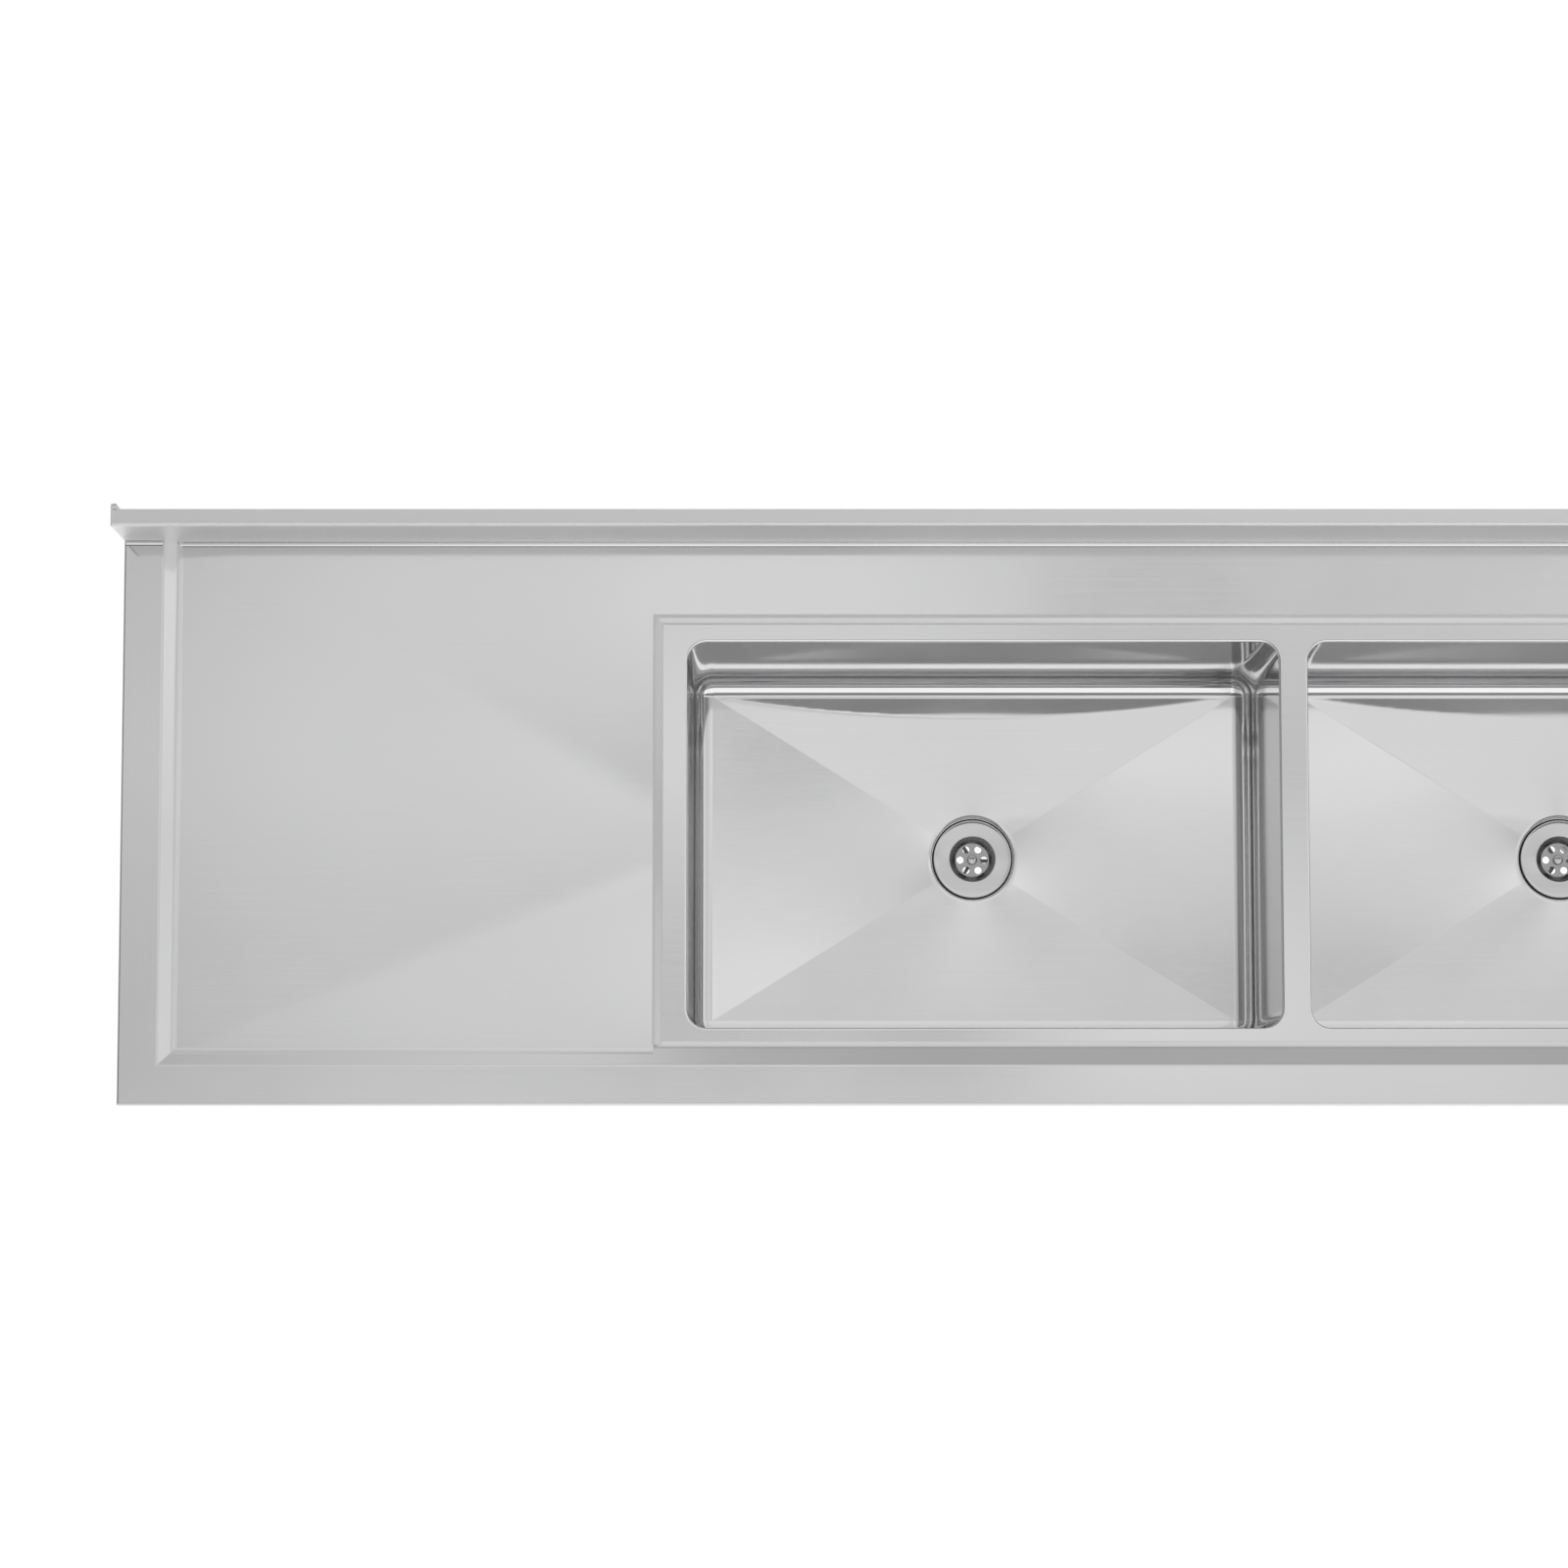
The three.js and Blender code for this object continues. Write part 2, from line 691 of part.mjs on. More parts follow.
// A round tube between two legs, its ends cut to the legs' curve.
function rail(from, to, z) {
  const [a, b] = [new THREE.Vector3(...from, z), new THREE.Vector3(...to, z)];
  const length = a.distanceTo(b);
  const ring = (radius, extra) => {
    const g = new THREE.CylinderGeometry(radius, radius, length + extra, RAIL_SIDES);
    if (Math.abs(b.x - a.x) > Math.abs(b.y - a.y)) g.rotateZ(Math.PI / 2);
    return solidFrom(g, ...a.clone().add(b).divideScalar(2).toArray());
  };
  const whole = ring(RAIL.radius, 0).subtract(ring(RAIL.radius - RAIL.wall, THROUGH));
  const clear = LEG.radius + GAP;
  return [a, b].reduce(
    (s, p) => s.subtract(upright(clear, z - THROUGH, z + THROUGH, p.x, p.y)),
    whole,
  );
}

// ---------- the assembly ----------
const sink = new THREE.Group();

function place(name, solid, material, parent = sink) {
  const mesh = new THREE.Mesh(geometryOf(solid), material);
  mesh.name = name;
  parent.add(mesh);
  return mesh;
}

const worktop = new THREE.Group();
const underframe = new THREE.Group();
sink.add(worktop, underframe);

place("front_edge", frontEdge(), satin, worktop);
place("left_edge", sideEdge(left, 1), satin, worktop);
place("right_edge", sideEdge(right, -1), satin, worktop);
place("drainboard", drainboard(), satin, worktop);
place("bowl_surround", bowlSurround(), satin, worktop);
place("backsplash", backsplash(), satin, worktop);
place("splash_end_left", splashEnd(left, 1), satin, worktop);
place("splash_end_right", splashEnd(right, -1), satin, worktop);

const bowlNames = ["left", "middle", "right"];
bowlX.forEach((cx, i) => {
  const side = bowlNames[i];
  const compartment = new THREE.Group();
  sink.add(compartment);
  place(`bowl_${side}`, bowl(cx), satin, compartment);
  place(`waste_flange_${side}`, wasteFlange(cx), bright, compartment);
  place(`waste_screw_${side}`, wasteScrew(cx), bright, compartment);
  place(`waste_seal_${side}`, wasteSeal(cx), rubber, compartment);
  place(`waste_gasket_${side}`, wasteGasket(cx), rubber, compartment);
  place(`waste_body_${side}`, wasteBody(cx), plastic, compartment);
});

place("front_channel", channel(frontChannelY), galvanised, underframe);
place("rear_channel", channel(rearChannelY), galvanised, underframe);
BRACES.forEach((share, i) => {
  const x = left + boardEdge + share * BOARD_LENGTH;
  place(`drainboard_brace_${i + 1}`, boardBrace(x), galvanised, underframe);
});

for (const [column, x] of legColumns) {
  for (const [row, y] of legRows) {
    const where = `${row}_${column}`;
    place(`leg_socket_${where}`, legSocket(x, y), tube, underframe);
    place(`leg_${where}`, leg(x, y), tube, underframe);
    place(`leg_insert_${where}`, legInsert(x, y), plastic, underframe);
    place(`foot_${where}`, foot(x, y), tube, underframe);
  }
  place(`side_rail_${column}`, rail([x, frontChannelY], [x, rearChannelY], RAIL.height), tube, underframe);
}
[0, 1].forEach((i) => {
  const [from, to] = [legColumns[i], legColumns[i + 1]];
  const name = `rear_rail_${from[0]}`;
  const solid = rail([from[1], rearChannelY], [to[1], rearChannelY], RAIL.height);
  place(name, solid, tube, underframe);
});

export default sink;
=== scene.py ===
import json
import math

import bmesh
import bpy
import numpy as np
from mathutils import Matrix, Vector


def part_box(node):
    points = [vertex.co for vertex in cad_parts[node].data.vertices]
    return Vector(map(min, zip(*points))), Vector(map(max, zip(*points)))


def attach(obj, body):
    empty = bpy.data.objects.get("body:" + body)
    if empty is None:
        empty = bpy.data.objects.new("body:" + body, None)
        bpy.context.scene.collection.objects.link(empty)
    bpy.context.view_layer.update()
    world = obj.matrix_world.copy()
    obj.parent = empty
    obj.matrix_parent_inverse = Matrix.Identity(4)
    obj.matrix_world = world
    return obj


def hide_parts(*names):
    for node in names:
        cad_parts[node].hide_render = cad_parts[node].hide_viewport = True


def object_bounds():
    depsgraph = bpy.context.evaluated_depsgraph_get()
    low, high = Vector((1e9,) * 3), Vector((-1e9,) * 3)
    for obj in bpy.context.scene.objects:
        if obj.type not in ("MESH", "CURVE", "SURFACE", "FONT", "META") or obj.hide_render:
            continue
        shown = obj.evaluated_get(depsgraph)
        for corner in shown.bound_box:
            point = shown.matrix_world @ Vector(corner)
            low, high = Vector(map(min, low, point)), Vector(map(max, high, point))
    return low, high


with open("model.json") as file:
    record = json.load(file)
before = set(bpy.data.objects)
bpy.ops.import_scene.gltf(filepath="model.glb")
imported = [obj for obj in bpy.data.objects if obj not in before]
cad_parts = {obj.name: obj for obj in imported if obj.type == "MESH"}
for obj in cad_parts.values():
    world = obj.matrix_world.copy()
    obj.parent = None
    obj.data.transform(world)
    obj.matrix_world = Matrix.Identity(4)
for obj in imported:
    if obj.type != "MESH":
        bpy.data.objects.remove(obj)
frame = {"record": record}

CAD_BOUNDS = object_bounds()
MM = 0.001

# ---------- sizes that the frame's boxes don't give ----------
SHEET = 1.5 * MM
RIM_WIDTH = 41 * MM
SLOPE_WIDTH = 21 * MM
HEM = 14 * MM
CREASE = 0.05 * MM  # height over which a crease of the drainboard is eased
SPILLWAY = 76 * MM  # where the drainboard is flush with the land, between its two creases
BOARD_INSET = 59 * MM  # from the outer face to the drainboard's edge
BOWL_CORNER = 20 * MM
COVE = 19.5 * MM
LIP = 2.5 * MM  # the roll at a bowl's mouth
SEAT_RADIUS = 46 * MM
SEAT_DEPTH = 3 * MM
FLOOR_FALL = 10 * MM
FLOOR_HOLE = 30 * MM
DRAFT = 2.9 * MM  # by which a bowl's walls lean in towards the bottom
LEVEL_WIDTH = 24 * MM  # of the level strip along the back of a bowl's floor, at its middle
LEVEL_RISE = 0.012  # the slope by which that strip rises towards the waste
FLANGE_RADIUS = 44 * MM  # the dark seal ring shows from the flange's rim to just past this
THROAT = 25.5 * MM
GRID_HOLES = 6
GRID_EDGE = 18.5 * MM
HOLE_CIRCLE = 13 * MM
HOLE_RADIUS = 3.9 * MM
SPIDER_ARMS = 3
OUTLET_BORE = 22 * MM
TUBE_WALL = 1.5 * MM
SINK = "sink"
SIDES = ("left", "middle", "right")
ROWS = ("front", "rear")
FINE = 64  # sides of a round piece

# ---------- looks ----------
# Scales of the noise that makes the grain: it is stretched along the named axis.
GRAIN = {"x": (4, 900, 900), "y": (900, 4, 900), "z": (900, 900, 4)}
# Pairs of a dark and a light tone, between which a steel varies.
SATIN = ((0.69, 0.69, 0.694), (0.74, 0.74, 0.744))
# The same satin steel made lighter: painted light that brightens the bowls and the splash.
SATIN_WITH_PAINTED_LIGHT = ((0.77, 0.77, 0.774), (0.83, 0.83, 0.834))
POLISHED = ((0.6, 0.6, 0.6), (0.68, 0.68, 0.68))
# Darker than the polished flange: painted shade down in the waste's throat and on its grid.
GRID_TONES_PAINTED_SHADE = ((0.36, 0.36, 0.36), (0.5, 0.5, 0.5))
TUBE_TONES = ((0.52, 0.525, 0.53), (0.62, 0.625, 0.63))
ZINC = ((0.42, 0.43, 0.44), (0.56, 0.57, 0.58))
FLAT_WAVE = 0.000002  # depth in metres of the unevenness of a drawn or cast piece, less than a sheet's

# ---------- light ----------
# Chosen from the tones of the photo and of renders, so that the steel reflects the same tones.
# Brightness of the studio by how far a direction leans to the front or the back, as a slope from upright.
DEPTH_GLOW = [
    (-2.5, 0.8), (-1.4, 1.2), (-0.5, 1.25), (-0.4, 0.7), (-0.35, 0.26), (-0.114, 0.24), (-0.104, 0.86),
    (-0.03, 0.88), (0.0, 0.84), (0.05, 0.815), (0.12, 0.815), (0.165, 0.79), (0.2, 0.74), (0.212, 0.76),
    (0.232, 0.9), (0.35, 0.88), (0.8, 0.8), (1.4, 0.85), (2.5, 0.95),
]
# The same from left to right, as a change to it.
SIDE_GLOW = [
    (-2.5, -0.6), (-0.5, -0.6), (-0.36, -0.3), (-0.2, -0.17), (-0.13, -0.12), (-0.08, 0.0), (0.4, 0.0),
    (0.8, -0.1), (1.4, 0.05), (2.5, 0.12),
]
# Soft boxes and darker gaps overhead: a row of them from left to right, times a row from front to back.
BOX_ACROSS = [
    (-0.2, 0.5), (-0.05, 0.6), (-0.025, 1.5), (0.035, 1.3), (0.07, -1.4), (0.092, -1.5), (0.11, -0.7),
    (0.15, -0.8), (0.165, -0.3), (0.19, 1.4), (0.24, 1.5), (0.32, 0.0),
]
BOX_ALONG = [
    (-0.05, 0.0), (0.03, -0.3), (0.06, -1.0), (0.087, 0.0), (0.11, 1.0), (0.122, 0.6), (0.16, 0.0),
    (0.2, 0.0),
]
BOX_STRENGTH = 0.13
# A dim doorway low down behind the sink.
DOOR_ACROSS = [(-0.12, 0.0), (-0.04, 1.0), (2.0, 1.0), (2.5, 0.0)]
DOOR_ALONG = [(1.0, 0.0), (1.5, 1.0), (3.5, 1.0), (4.5, 0.0)]
DOOR_STRENGTH = -0.42
# Near the horizon all directions fade to the floor's white, between these two heights of a unit vector.
WALL_FADE = (0.06, 0.19)
LOWEST_LIFT = 0.2  # heights of directions below this count as this, so that the slopes stay finite
DIMMEST = 0.1  # no direction is darker than this
FLOOR_WHITE = {"albedo": 0.15, "glow": 0.94}  # together about 1.0, the white of the horizon

# ---------- places from the frame ----------
LEFT, FRONT = CAD_BOUNDS[0][0], CAD_BOUNDS[0][1]
RIGHT, BACK = CAD_BOUNDS[1][0], CAD_BOUNDS[1][1]
RIM_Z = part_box("left_edge")[1].z
APRON_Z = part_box("left_edge")[0].z
LAND_LOW, LAND_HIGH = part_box("bowl_surround")
LAND_Z = LAND_HIGH.z
BOARD_LOW, BOARD_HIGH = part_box("drainboard")
BOARD_Z = BOARD_HIGH.z
SPLASH_LOW, SPLASH_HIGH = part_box("backsplash")
SPLASH_Y = SPLASH_LOW.y
SEAM_X = LAND_LOW.x
LAND_BACK = LAND_HIGH.y
BOWL_BOXES = {side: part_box(f"bowl_{side}") for side in SIDES}
BOWL_Y = (BOWL_BOXES["left"][0].y + BOWL_BOXES["left"][1].y) / 2
BOWL_X = {side: (low.x + high.x) / 2 for side, (low, high) in BOWL_BOXES.items()}
HALF_WIDTH = (BOWL_BOXES["left"][1].x - BOWL_BOXES["left"][0].x) / 2 - SHEET
HALF_DEPTH = (BOWL_BOXES["left"][1].y - BOWL_BOXES["left"][0].y) / 2 - SHEET
SEAT_Z = BOWL_BOXES["left"][0].z + SHEET
FLOOR_LOW_Z = SEAT_Z + SEAT_DEPTH
FLOOR_Z = FLOOR_LOW_Z + FLOOR_FALL


# ---------- camera ----------
def add_camera():
    """Looks down on the left two thirds of the sink from above and slightly in front."""
    above_rim = 4.82
    from_left = 0.6806
    before_front = 0.1708
    seen_width = 1.6  # of the picture, at the rim's height
    lean = 0.5  # how far the line of sight moves back on its way down to the rim
    data = bpy.data.cameras.new("camera")
    data.sensor_width = 36
    data.lens = data.sensor_width * above_rim / seen_width
    camera = bpy.data.objects.new("camera", data)
    bpy.context.scene.collection.objects.link(camera)
    camera.location = (LEFT + from_left, FRONT - before_front, RIM_Z + above_rim)
    camera.rotation_euler = (math.atan2(lean, above_rim), 0, 0)
    bpy.context.scene.camera = camera


# ---------- node helpers ----------
def new_material(name, shader_inputs):
    """A node material with its Principled shader's own sockets set, and (nodes, links, shader)."""
    material = bpy.data.materials.new(name)
    material.use_nodes = True
    nodes, links = material.node_tree.nodes, material.node_tree.links
    shader = nodes["Principled BSDF"]
    for key, value in shader_inputs.items():
        shader.inputs[key].default_value = value
    return material, nodes, links, shader


def stretched_noise(nodes, links, stretch, detail=3.0, roughness=0.55):
    """Noise in the frame's metres, stretched along an axis by giving that axis a small scale."""
    place = nodes.new("ShaderNodeTexCoord")
    mapping = nodes.new("ShaderNodeMapping")
    mapping.inputs["Scale"].default_value = stretch
    noise = nodes.new("ShaderNodeTexNoise")
    noise.inputs["Scale"].default_value = 1.0
    noise.inputs["Detail"].default_value = detail
    noise.inputs["Roughness"].default_value = roughness
    links.new(place.outputs["Object"], mapping.inputs["Vector"])
    links.new(mapping.outputs["Vector"], noise.inputs["Vector"])
    return noise.outputs["Fac"]


def ranged(nodes, links, value, low, high, source=(0.3, 0.7)):
    """Maps a value that lies in the source range onto low..high."""
    node = nodes.new("ShaderNodeMapRange")
    node.inputs["From Min"].default_value, node.inputs["From Max"].default_value = source
    node.inputs["To Min"].default_value = low
    node.inputs["To Max"].default_value = high
    links.new(value, node.inputs["Value"])
    return node.outputs["Result"]


def math_node(nodes, operation, a, b):
    """A math node's result; a and b are numbers or sockets."""
    node = nodes.new("ShaderNodeMath")
    node.operation = operation
    for socket, value in zip(node.inputs, (a, b)):
        if isinstance(value, (int, float)):
            socket.default_value = value
        else:
            node.id_data.links.new(value, socket)
    return node.outputs["Value"]


def bump(nodes, links, shader, height, distance, below=None):
    """Bumps a shader's normal by a height, on top of an earlier bump if one is given."""
    node = nodes.new("ShaderNodeBump")
    node.inputs["Strength"].default_value = 1.0
    node.inputs["Distance"].default_value = distance
    links.new(height, node.inputs["Height"])
    if below:
        links.new(below, node.inputs["Normal"])
    links.new(node.outputs["Normal"], shader.inputs["Normal"])
    return node.outputs["Normal"]


def tinted(nodes, links, value, dark, light, socket):
    """Colours a socket from dark to light by a value from 0 to 1."""
    ramp = nodes.new("ShaderNodeValToRGB")
    ramp.color_ramp.elements[0].color = (*dark, 1)
    ramp.color_ramp.elements[1].color = (*light, 1)
    links.new(value, ramp.inputs["Fac"])
    links.new(ramp.outputs["Color"], socket)


def steel(name, grain, dark, light, smooth, rough, wave=0.00006, scratch=0.0000016, metal=1.0):
    """Brushed stainless: fine grain along one axis, faint smudges, and a sheet that isn't quite flat.
    smooth and rough are roughnesses; wave and scratch are depths in metres."""
    material, nodes, links, shader = new_material(name, {"Metallic": metal})
    lines = stretched_noise(nodes, links, GRAIN[grain], detail=4.0, roughness=0.65)
    smudge = stretched_noise(nodes, links, (5, 5, 5), detail=5.0, roughness=0.6)
    waves = stretched_noise(nodes, links, (3.2, 3.2, 3.2), detail=1.0, roughness=0.4)
    fine = ranged(nodes, links, lines, smooth, rough)
    stain = ranged(nodes, links, smudge, -0.02, 0.03)
    links.new(math_node(nodes, "ADD", fine, stain), shader.inputs["Roughness"])
    grain_tone = ranged(nodes, links, lines, 0.0, 0.45)
    smudge_tone = ranged(nodes, links, smudge, 0.0, 0.55)
    tone = math_node(nodes, "ADD", grain_tone, smudge_tone)
    tinted(nodes, links, tone, dark, light, shader.inputs["Base Color"])
    below = bump(nodes, links, shader, waves, wave)
    bump(nodes, links, shader, lines, scratch, below)
    return material


def moulded(name, dark, light, rough):
    """A moulded plastic or rubber with a fine grained skin."""
    speckle = 900
    spread = 0.08
    skin_depth = 0.00004
    material, nodes, links, shader = new_material(name, {"Metallic": 0.0})
    grain = stretched_noise(nodes, links, (speckle, speckle, speckle))
    cloud = stretched_noise(nodes, links, (40, 40, 40))
    tinted(nodes, links, ranged(nodes, links, cloud, 0.0, 1.0), dark, light, shader.inputs["Base Color"])
    links.new(ranged(nodes, links, grain, rough - spread, rough + spread), shader.inputs["Roughness"])
    bump(nodes, links, shader, grain, skin_depth)
    return material


def galvanised(name):
    """Zinc coated steel, with the coating's large flat crystals in slightly different greys."""
    crystals_per_metre = 120
    crystal_depth = 0.00001
    material, nodes, links, shader = new_material(name, {"Metallic": 1.0})
    place = nodes.new("ShaderNodeTexCoord")
    crystals = nodes.new("ShaderNodeTexVoronoi")
    crystals.inputs["Scale"].default_value = crystals_per_metre
    links.new(place.outputs["Object"], crystals.inputs["Vector"])
    grey = nodes.new("ShaderNodeSeparateColor")
    links.new(crystals.outputs["Color"], grey.inputs["Color"])
    value = grey.outputs["Red"]
    tinted(nodes, links, value, *ZINC, shader.inputs["Base Color"])
    links.new(ranged(nodes, links, value, 0.36, 0.5, (0, 1)), shader.inputs["Roughness"])
    bump(nodes, links, shader, value, crystal_depth)
    return material


MATERIALS = {
    "top_x": steel("satin_steel_x", "x", *SATIN, 0.075, 0.1, metal=0.92),
    "top_y": steel("satin_steel_y", "y", *SATIN, 0.075, 0.1, metal=0.92),
    # The splash and the bowls take the lightened satin, which is painted light.
    "splash": steel("splash_steel", "x", *SATIN_WITH_PAINTED_LIGHT, 0.4, 0.46, metal=0.85),
    "bowl": steel("bowl_steel", "x", *SATIN_WITH_PAINTED_LIGHT, 0.05, 0.065, wave=0.00002, scratch=0.0000002, metal=0.84),
    "weld": steel("ground_weld", "x", *SATIN, 0.4, 0.5, scratch=0.000004, metal=0.9),
    "waste": steel("polished_steel", "x", *POLISHED, 0.07, 0.12, wave=FLAT_WAVE),
    # The grid and the waste's throat take the darkened tones, which paint the shade of the recess.
    "grid": steel("grid_steel", "x", *GRID_TONES_PAINTED_SHADE, 0.22, 0.34, wave=FLAT_WAVE),
    "tube": steel("tube_steel", "z", *TUBE_TONES, 0.16, 0.26, wave=FLAT_WAVE),
    "rail_x": steel("rail_steel_x", "x", *TUBE_TONES, 0.16, 0.26, wave=FLAT_WAVE),
    "rail_y": steel("rail_steel_y", "y", *TUBE_TONES, 0.16, 0.26, wave=FLAT_WAVE),
    "channel": galvanised("galvanised_steel"),
    "rubber": moulded("seal_rubber", (0.012, 0.012, 0.013), (0.03, 0.03, 0.031), 0.55),
    "body": moulded("waste_plastic", (0.42, 0.42, 0.41), (0.5, 0.5, 0.48), 0.42),
    "insert": moulded("insert_plastic", (0.02, 0.02, 0.022), (0.04, 0.04, 0.042), 0.5),
}


# ---------- mesh helpers ----------
def piece(name, verts, faces, material, slot, body=SINK, replaces=(), sharp=32):
    """One closed mesh in the frame's metres, smooth but for edges sharper than an angle in degrees."""
    same_point, no_length = 2e-6, 1e-7
    mesh = bpy.data.meshes.new(name)
    mesh.from_pydata([tuple(v) for v in verts], [], [tuple(f) for f in faces])
    work = bmesh.new()
    work.from_mesh(mesh)
    bmesh.ops.remove_doubles(work, verts=work.verts, dist=same_point)
    bmesh.ops.dissolve_degenerate(work, edges=work.edges, dist=no_length)
    bmesh.ops.recalc_face_normals(work, faces=work.faces)
    for face in work.faces:
        face.smooth = True
    for edge in work.edges:
        if len(edge.link_faces) == 2 and edge.calc_face_angle(0) > math.radians(sharp):
            edge.smooth = False
    work.to_mesh(mesh)
    work.free()
    obj = bpy.data.objects.new(name, mesh)
    bpy.context.scene.collection.objects.link(obj)
    obj.modifiers.new("flat faces stay flat", "WEIGHTED_NORMAL").keep_sharp = True
    mesh.materials.append(MATERIALS[material])
    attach(obj, body)
    if replaces:
        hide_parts(*replaces)
    return obj


def joined(*solids):
    """Several (verts, faces) solids as one."""
    verts, faces = [], []
    for more_verts, more_faces in solids:
        base = len(verts)
        verts += [tuple(v) for v in more_verts]
        faces += [tuple(base + i for i in face) for face in more_faces]
    return verts, faces


def corner_arc(corner, back, on, radius, steps):
    """The arc that rounds a corner between two unit directions, both pointing away from the corner."""
    half = back.angle(on) / 2
    reach = radius / math.tan(half)
    centre = corner + (back + on).normalized() * (radius / math.sin(half))
    start, end = corner + back * reach - centre, corner + on * reach - centre
    turn = start.angle_signed(end)
    points = []
    for step in range(steps + 1):
        angle = -turn * step / steps
        c, s = math.cos(angle), math.sin(angle)
        points.append(tuple(centre + Vector((start.x * c - start.y * s, start.x * s + start.y * c))))
    return points


def rounded(path, radius):
    """A 2-D path with its inner corners turned into arcs. radius is one number or one per inner corner."""
    steps = 6
    points = [Vector(p) for p in path]
    radii = [radius] * (len(points) - 2) if isinstance(radius, (int, float)) else radius
    result = [tuple(points[0])]
    for before, corner, after, r in zip(points, points[1:], points[2:], radii):
        result += corner_arc(corner, (before - corner).normalized(), (after - corner).normalized(), r, steps)
    return result + [tuple(points[-1])]


def sheet_section(path, thickness=SHEET):
    """A closed section: the path, and its copy offset to the path's left by the sheet's thickness."""
    points = np.array(path)
    run = np.diff(points, axis=0)
    run /= np.linalg.norm(run, axis=1)[:, None]
    side = np.stack([-run[:, 1], run[:, 0]], axis=1)
    before = np.vstack([side[:1], side])
    after = np.vstack([side, side[-1:]])
    middle = (before + after) / (1 + (before * after).sum(axis=1))[:, None]
    inner = points + middle * thickness
    return [tuple(p) for p in np.vstack([points, inner[::-1]])]


def loft(rings, closed=False):
    """Quads between rings with the same number of points, capped at both ends unless closed."""
    count = len(rings[0])
    verts = [tuple(v) for ring in rings for v in ring]
    faces = []
    pairs = list(zip(range(len(rings)), range(1, len(rings))))
    if closed:
        pairs.append((len(rings) - 1, 0))
    for a, b in pairs:
        for i in range(count):
            j = (i + 1) % count
            faces.append((a * count + i, a * count + j, b * count + j, b * count + i))
    if not closed:
        faces.append(tuple(reversed(range(count))))
        faces.append(tuple((len(rings) - 1) * count + i for i in range(count)))
    return verts, faces


def swept(section, *placers):
    """A section carried through places, each a function from the section's two numbers to a point."""
    return loft([[place(a, b) for a, b in section] for place in placers])


def lathe(profile, x, y, sides=FINE):
    """A closed outline of (radius, height) turned about an upright axis."""
    rings = []
    for k in range(sides):
        angle = 2 * math.pi * k / sides
        c, s = math.cos(angle), math.sin(angle)
        rings.append([(x + r * c, y + r * s, z) for r, z in profile])
    return loft(rings, closed=True)


def hoop(points, radius, sides):
    """A round bar along a closed loop of 3-D points."""
    rings = []
    for i, point in enumerate(points):
        along = (points[(i + 1) % len(points)] - points[i - 1]).normalized()
        across = along.orthogonal() if not rings else across - along * across.dot(along)
        across.normalize()
        up = along.cross(across)
        rings.append(
            [
                point + (across * math.cos(t) + up * math.sin(t)) * radius
                for t in (2 * math.pi * k / sides for k in range(sides))
            ]
        )
    return loft(rings, closed=True)


def arc(centre, radius, start, end, steps):
    """Points (radius, height) on an arc, with angles in degrees."""
    angles = np.radians(np.linspace(start, end, steps + 1))
    return [(centre[0] + radius * math.cos(a), centre[1] + radius * math.sin(a)) for a in angles]


# ---------- the top's edges and splash ----------
def rim_section():
    """The raised edge as (distance in from the outer face, height)."""
    path = [
        (RIM_WIDTH + SLOPE_WIDTH, LAND_Z),
        (RIM_WIDTH, RIM_Z),
        (0, RIM_Z),
        (0, APRON_Z),
        (HEM, APRON_Z),
    ]
    return sheet_section(rounded(path, [5 * MM, 2.5 * MM, 2.5 * MM]))


def add_edges():
    """The front edge from corner to corner, mitred to the left and the right edge."""
    section = rim_section()
    sheet = swept(
        section, lambda q, z: (LEFT + q, FRONT + q, z), lambda q, z: (RIGHT - q, FRONT + q, z)
    )
    piece("front_edge_sheet", *sheet, "top_x", "top_steel", replaces=["front_edge"])
    for side, x, inward in (("left", LEFT, 1), ("right", RIGHT, -1)):
        sheet = swept(
            section,
            lambda q, z: (x + inward * q, FRONT + q, z),
            lambda q, z: (x + inward * q, SPLASH_Y, z),
        )
        piece(f"{side}_edge_sheet", *sheet, "top_y", "top_steel", replaces=[f"{side}_edge"])


def fillet_section(wall, floor, radius):
    """A ground weld in the corner between two 2-D directions, as offsets from the corner."""
    steps = 7
    sunk = 0.4 * MM
    a, b = Vector(wall).normalized(), Vector(floor).normalized()
    points = corner_arc(Vector((0, 0)), a, b, radius, steps)
    behind = -(a + b).normalized() * sunk
    points.append((points[-1][0] + behind.x, points[-1][1] + behind.y))
    points.append(tuple(behind))
    points.append((points[0][0] + behind.x, points[0][1] + behind.y))
    return points


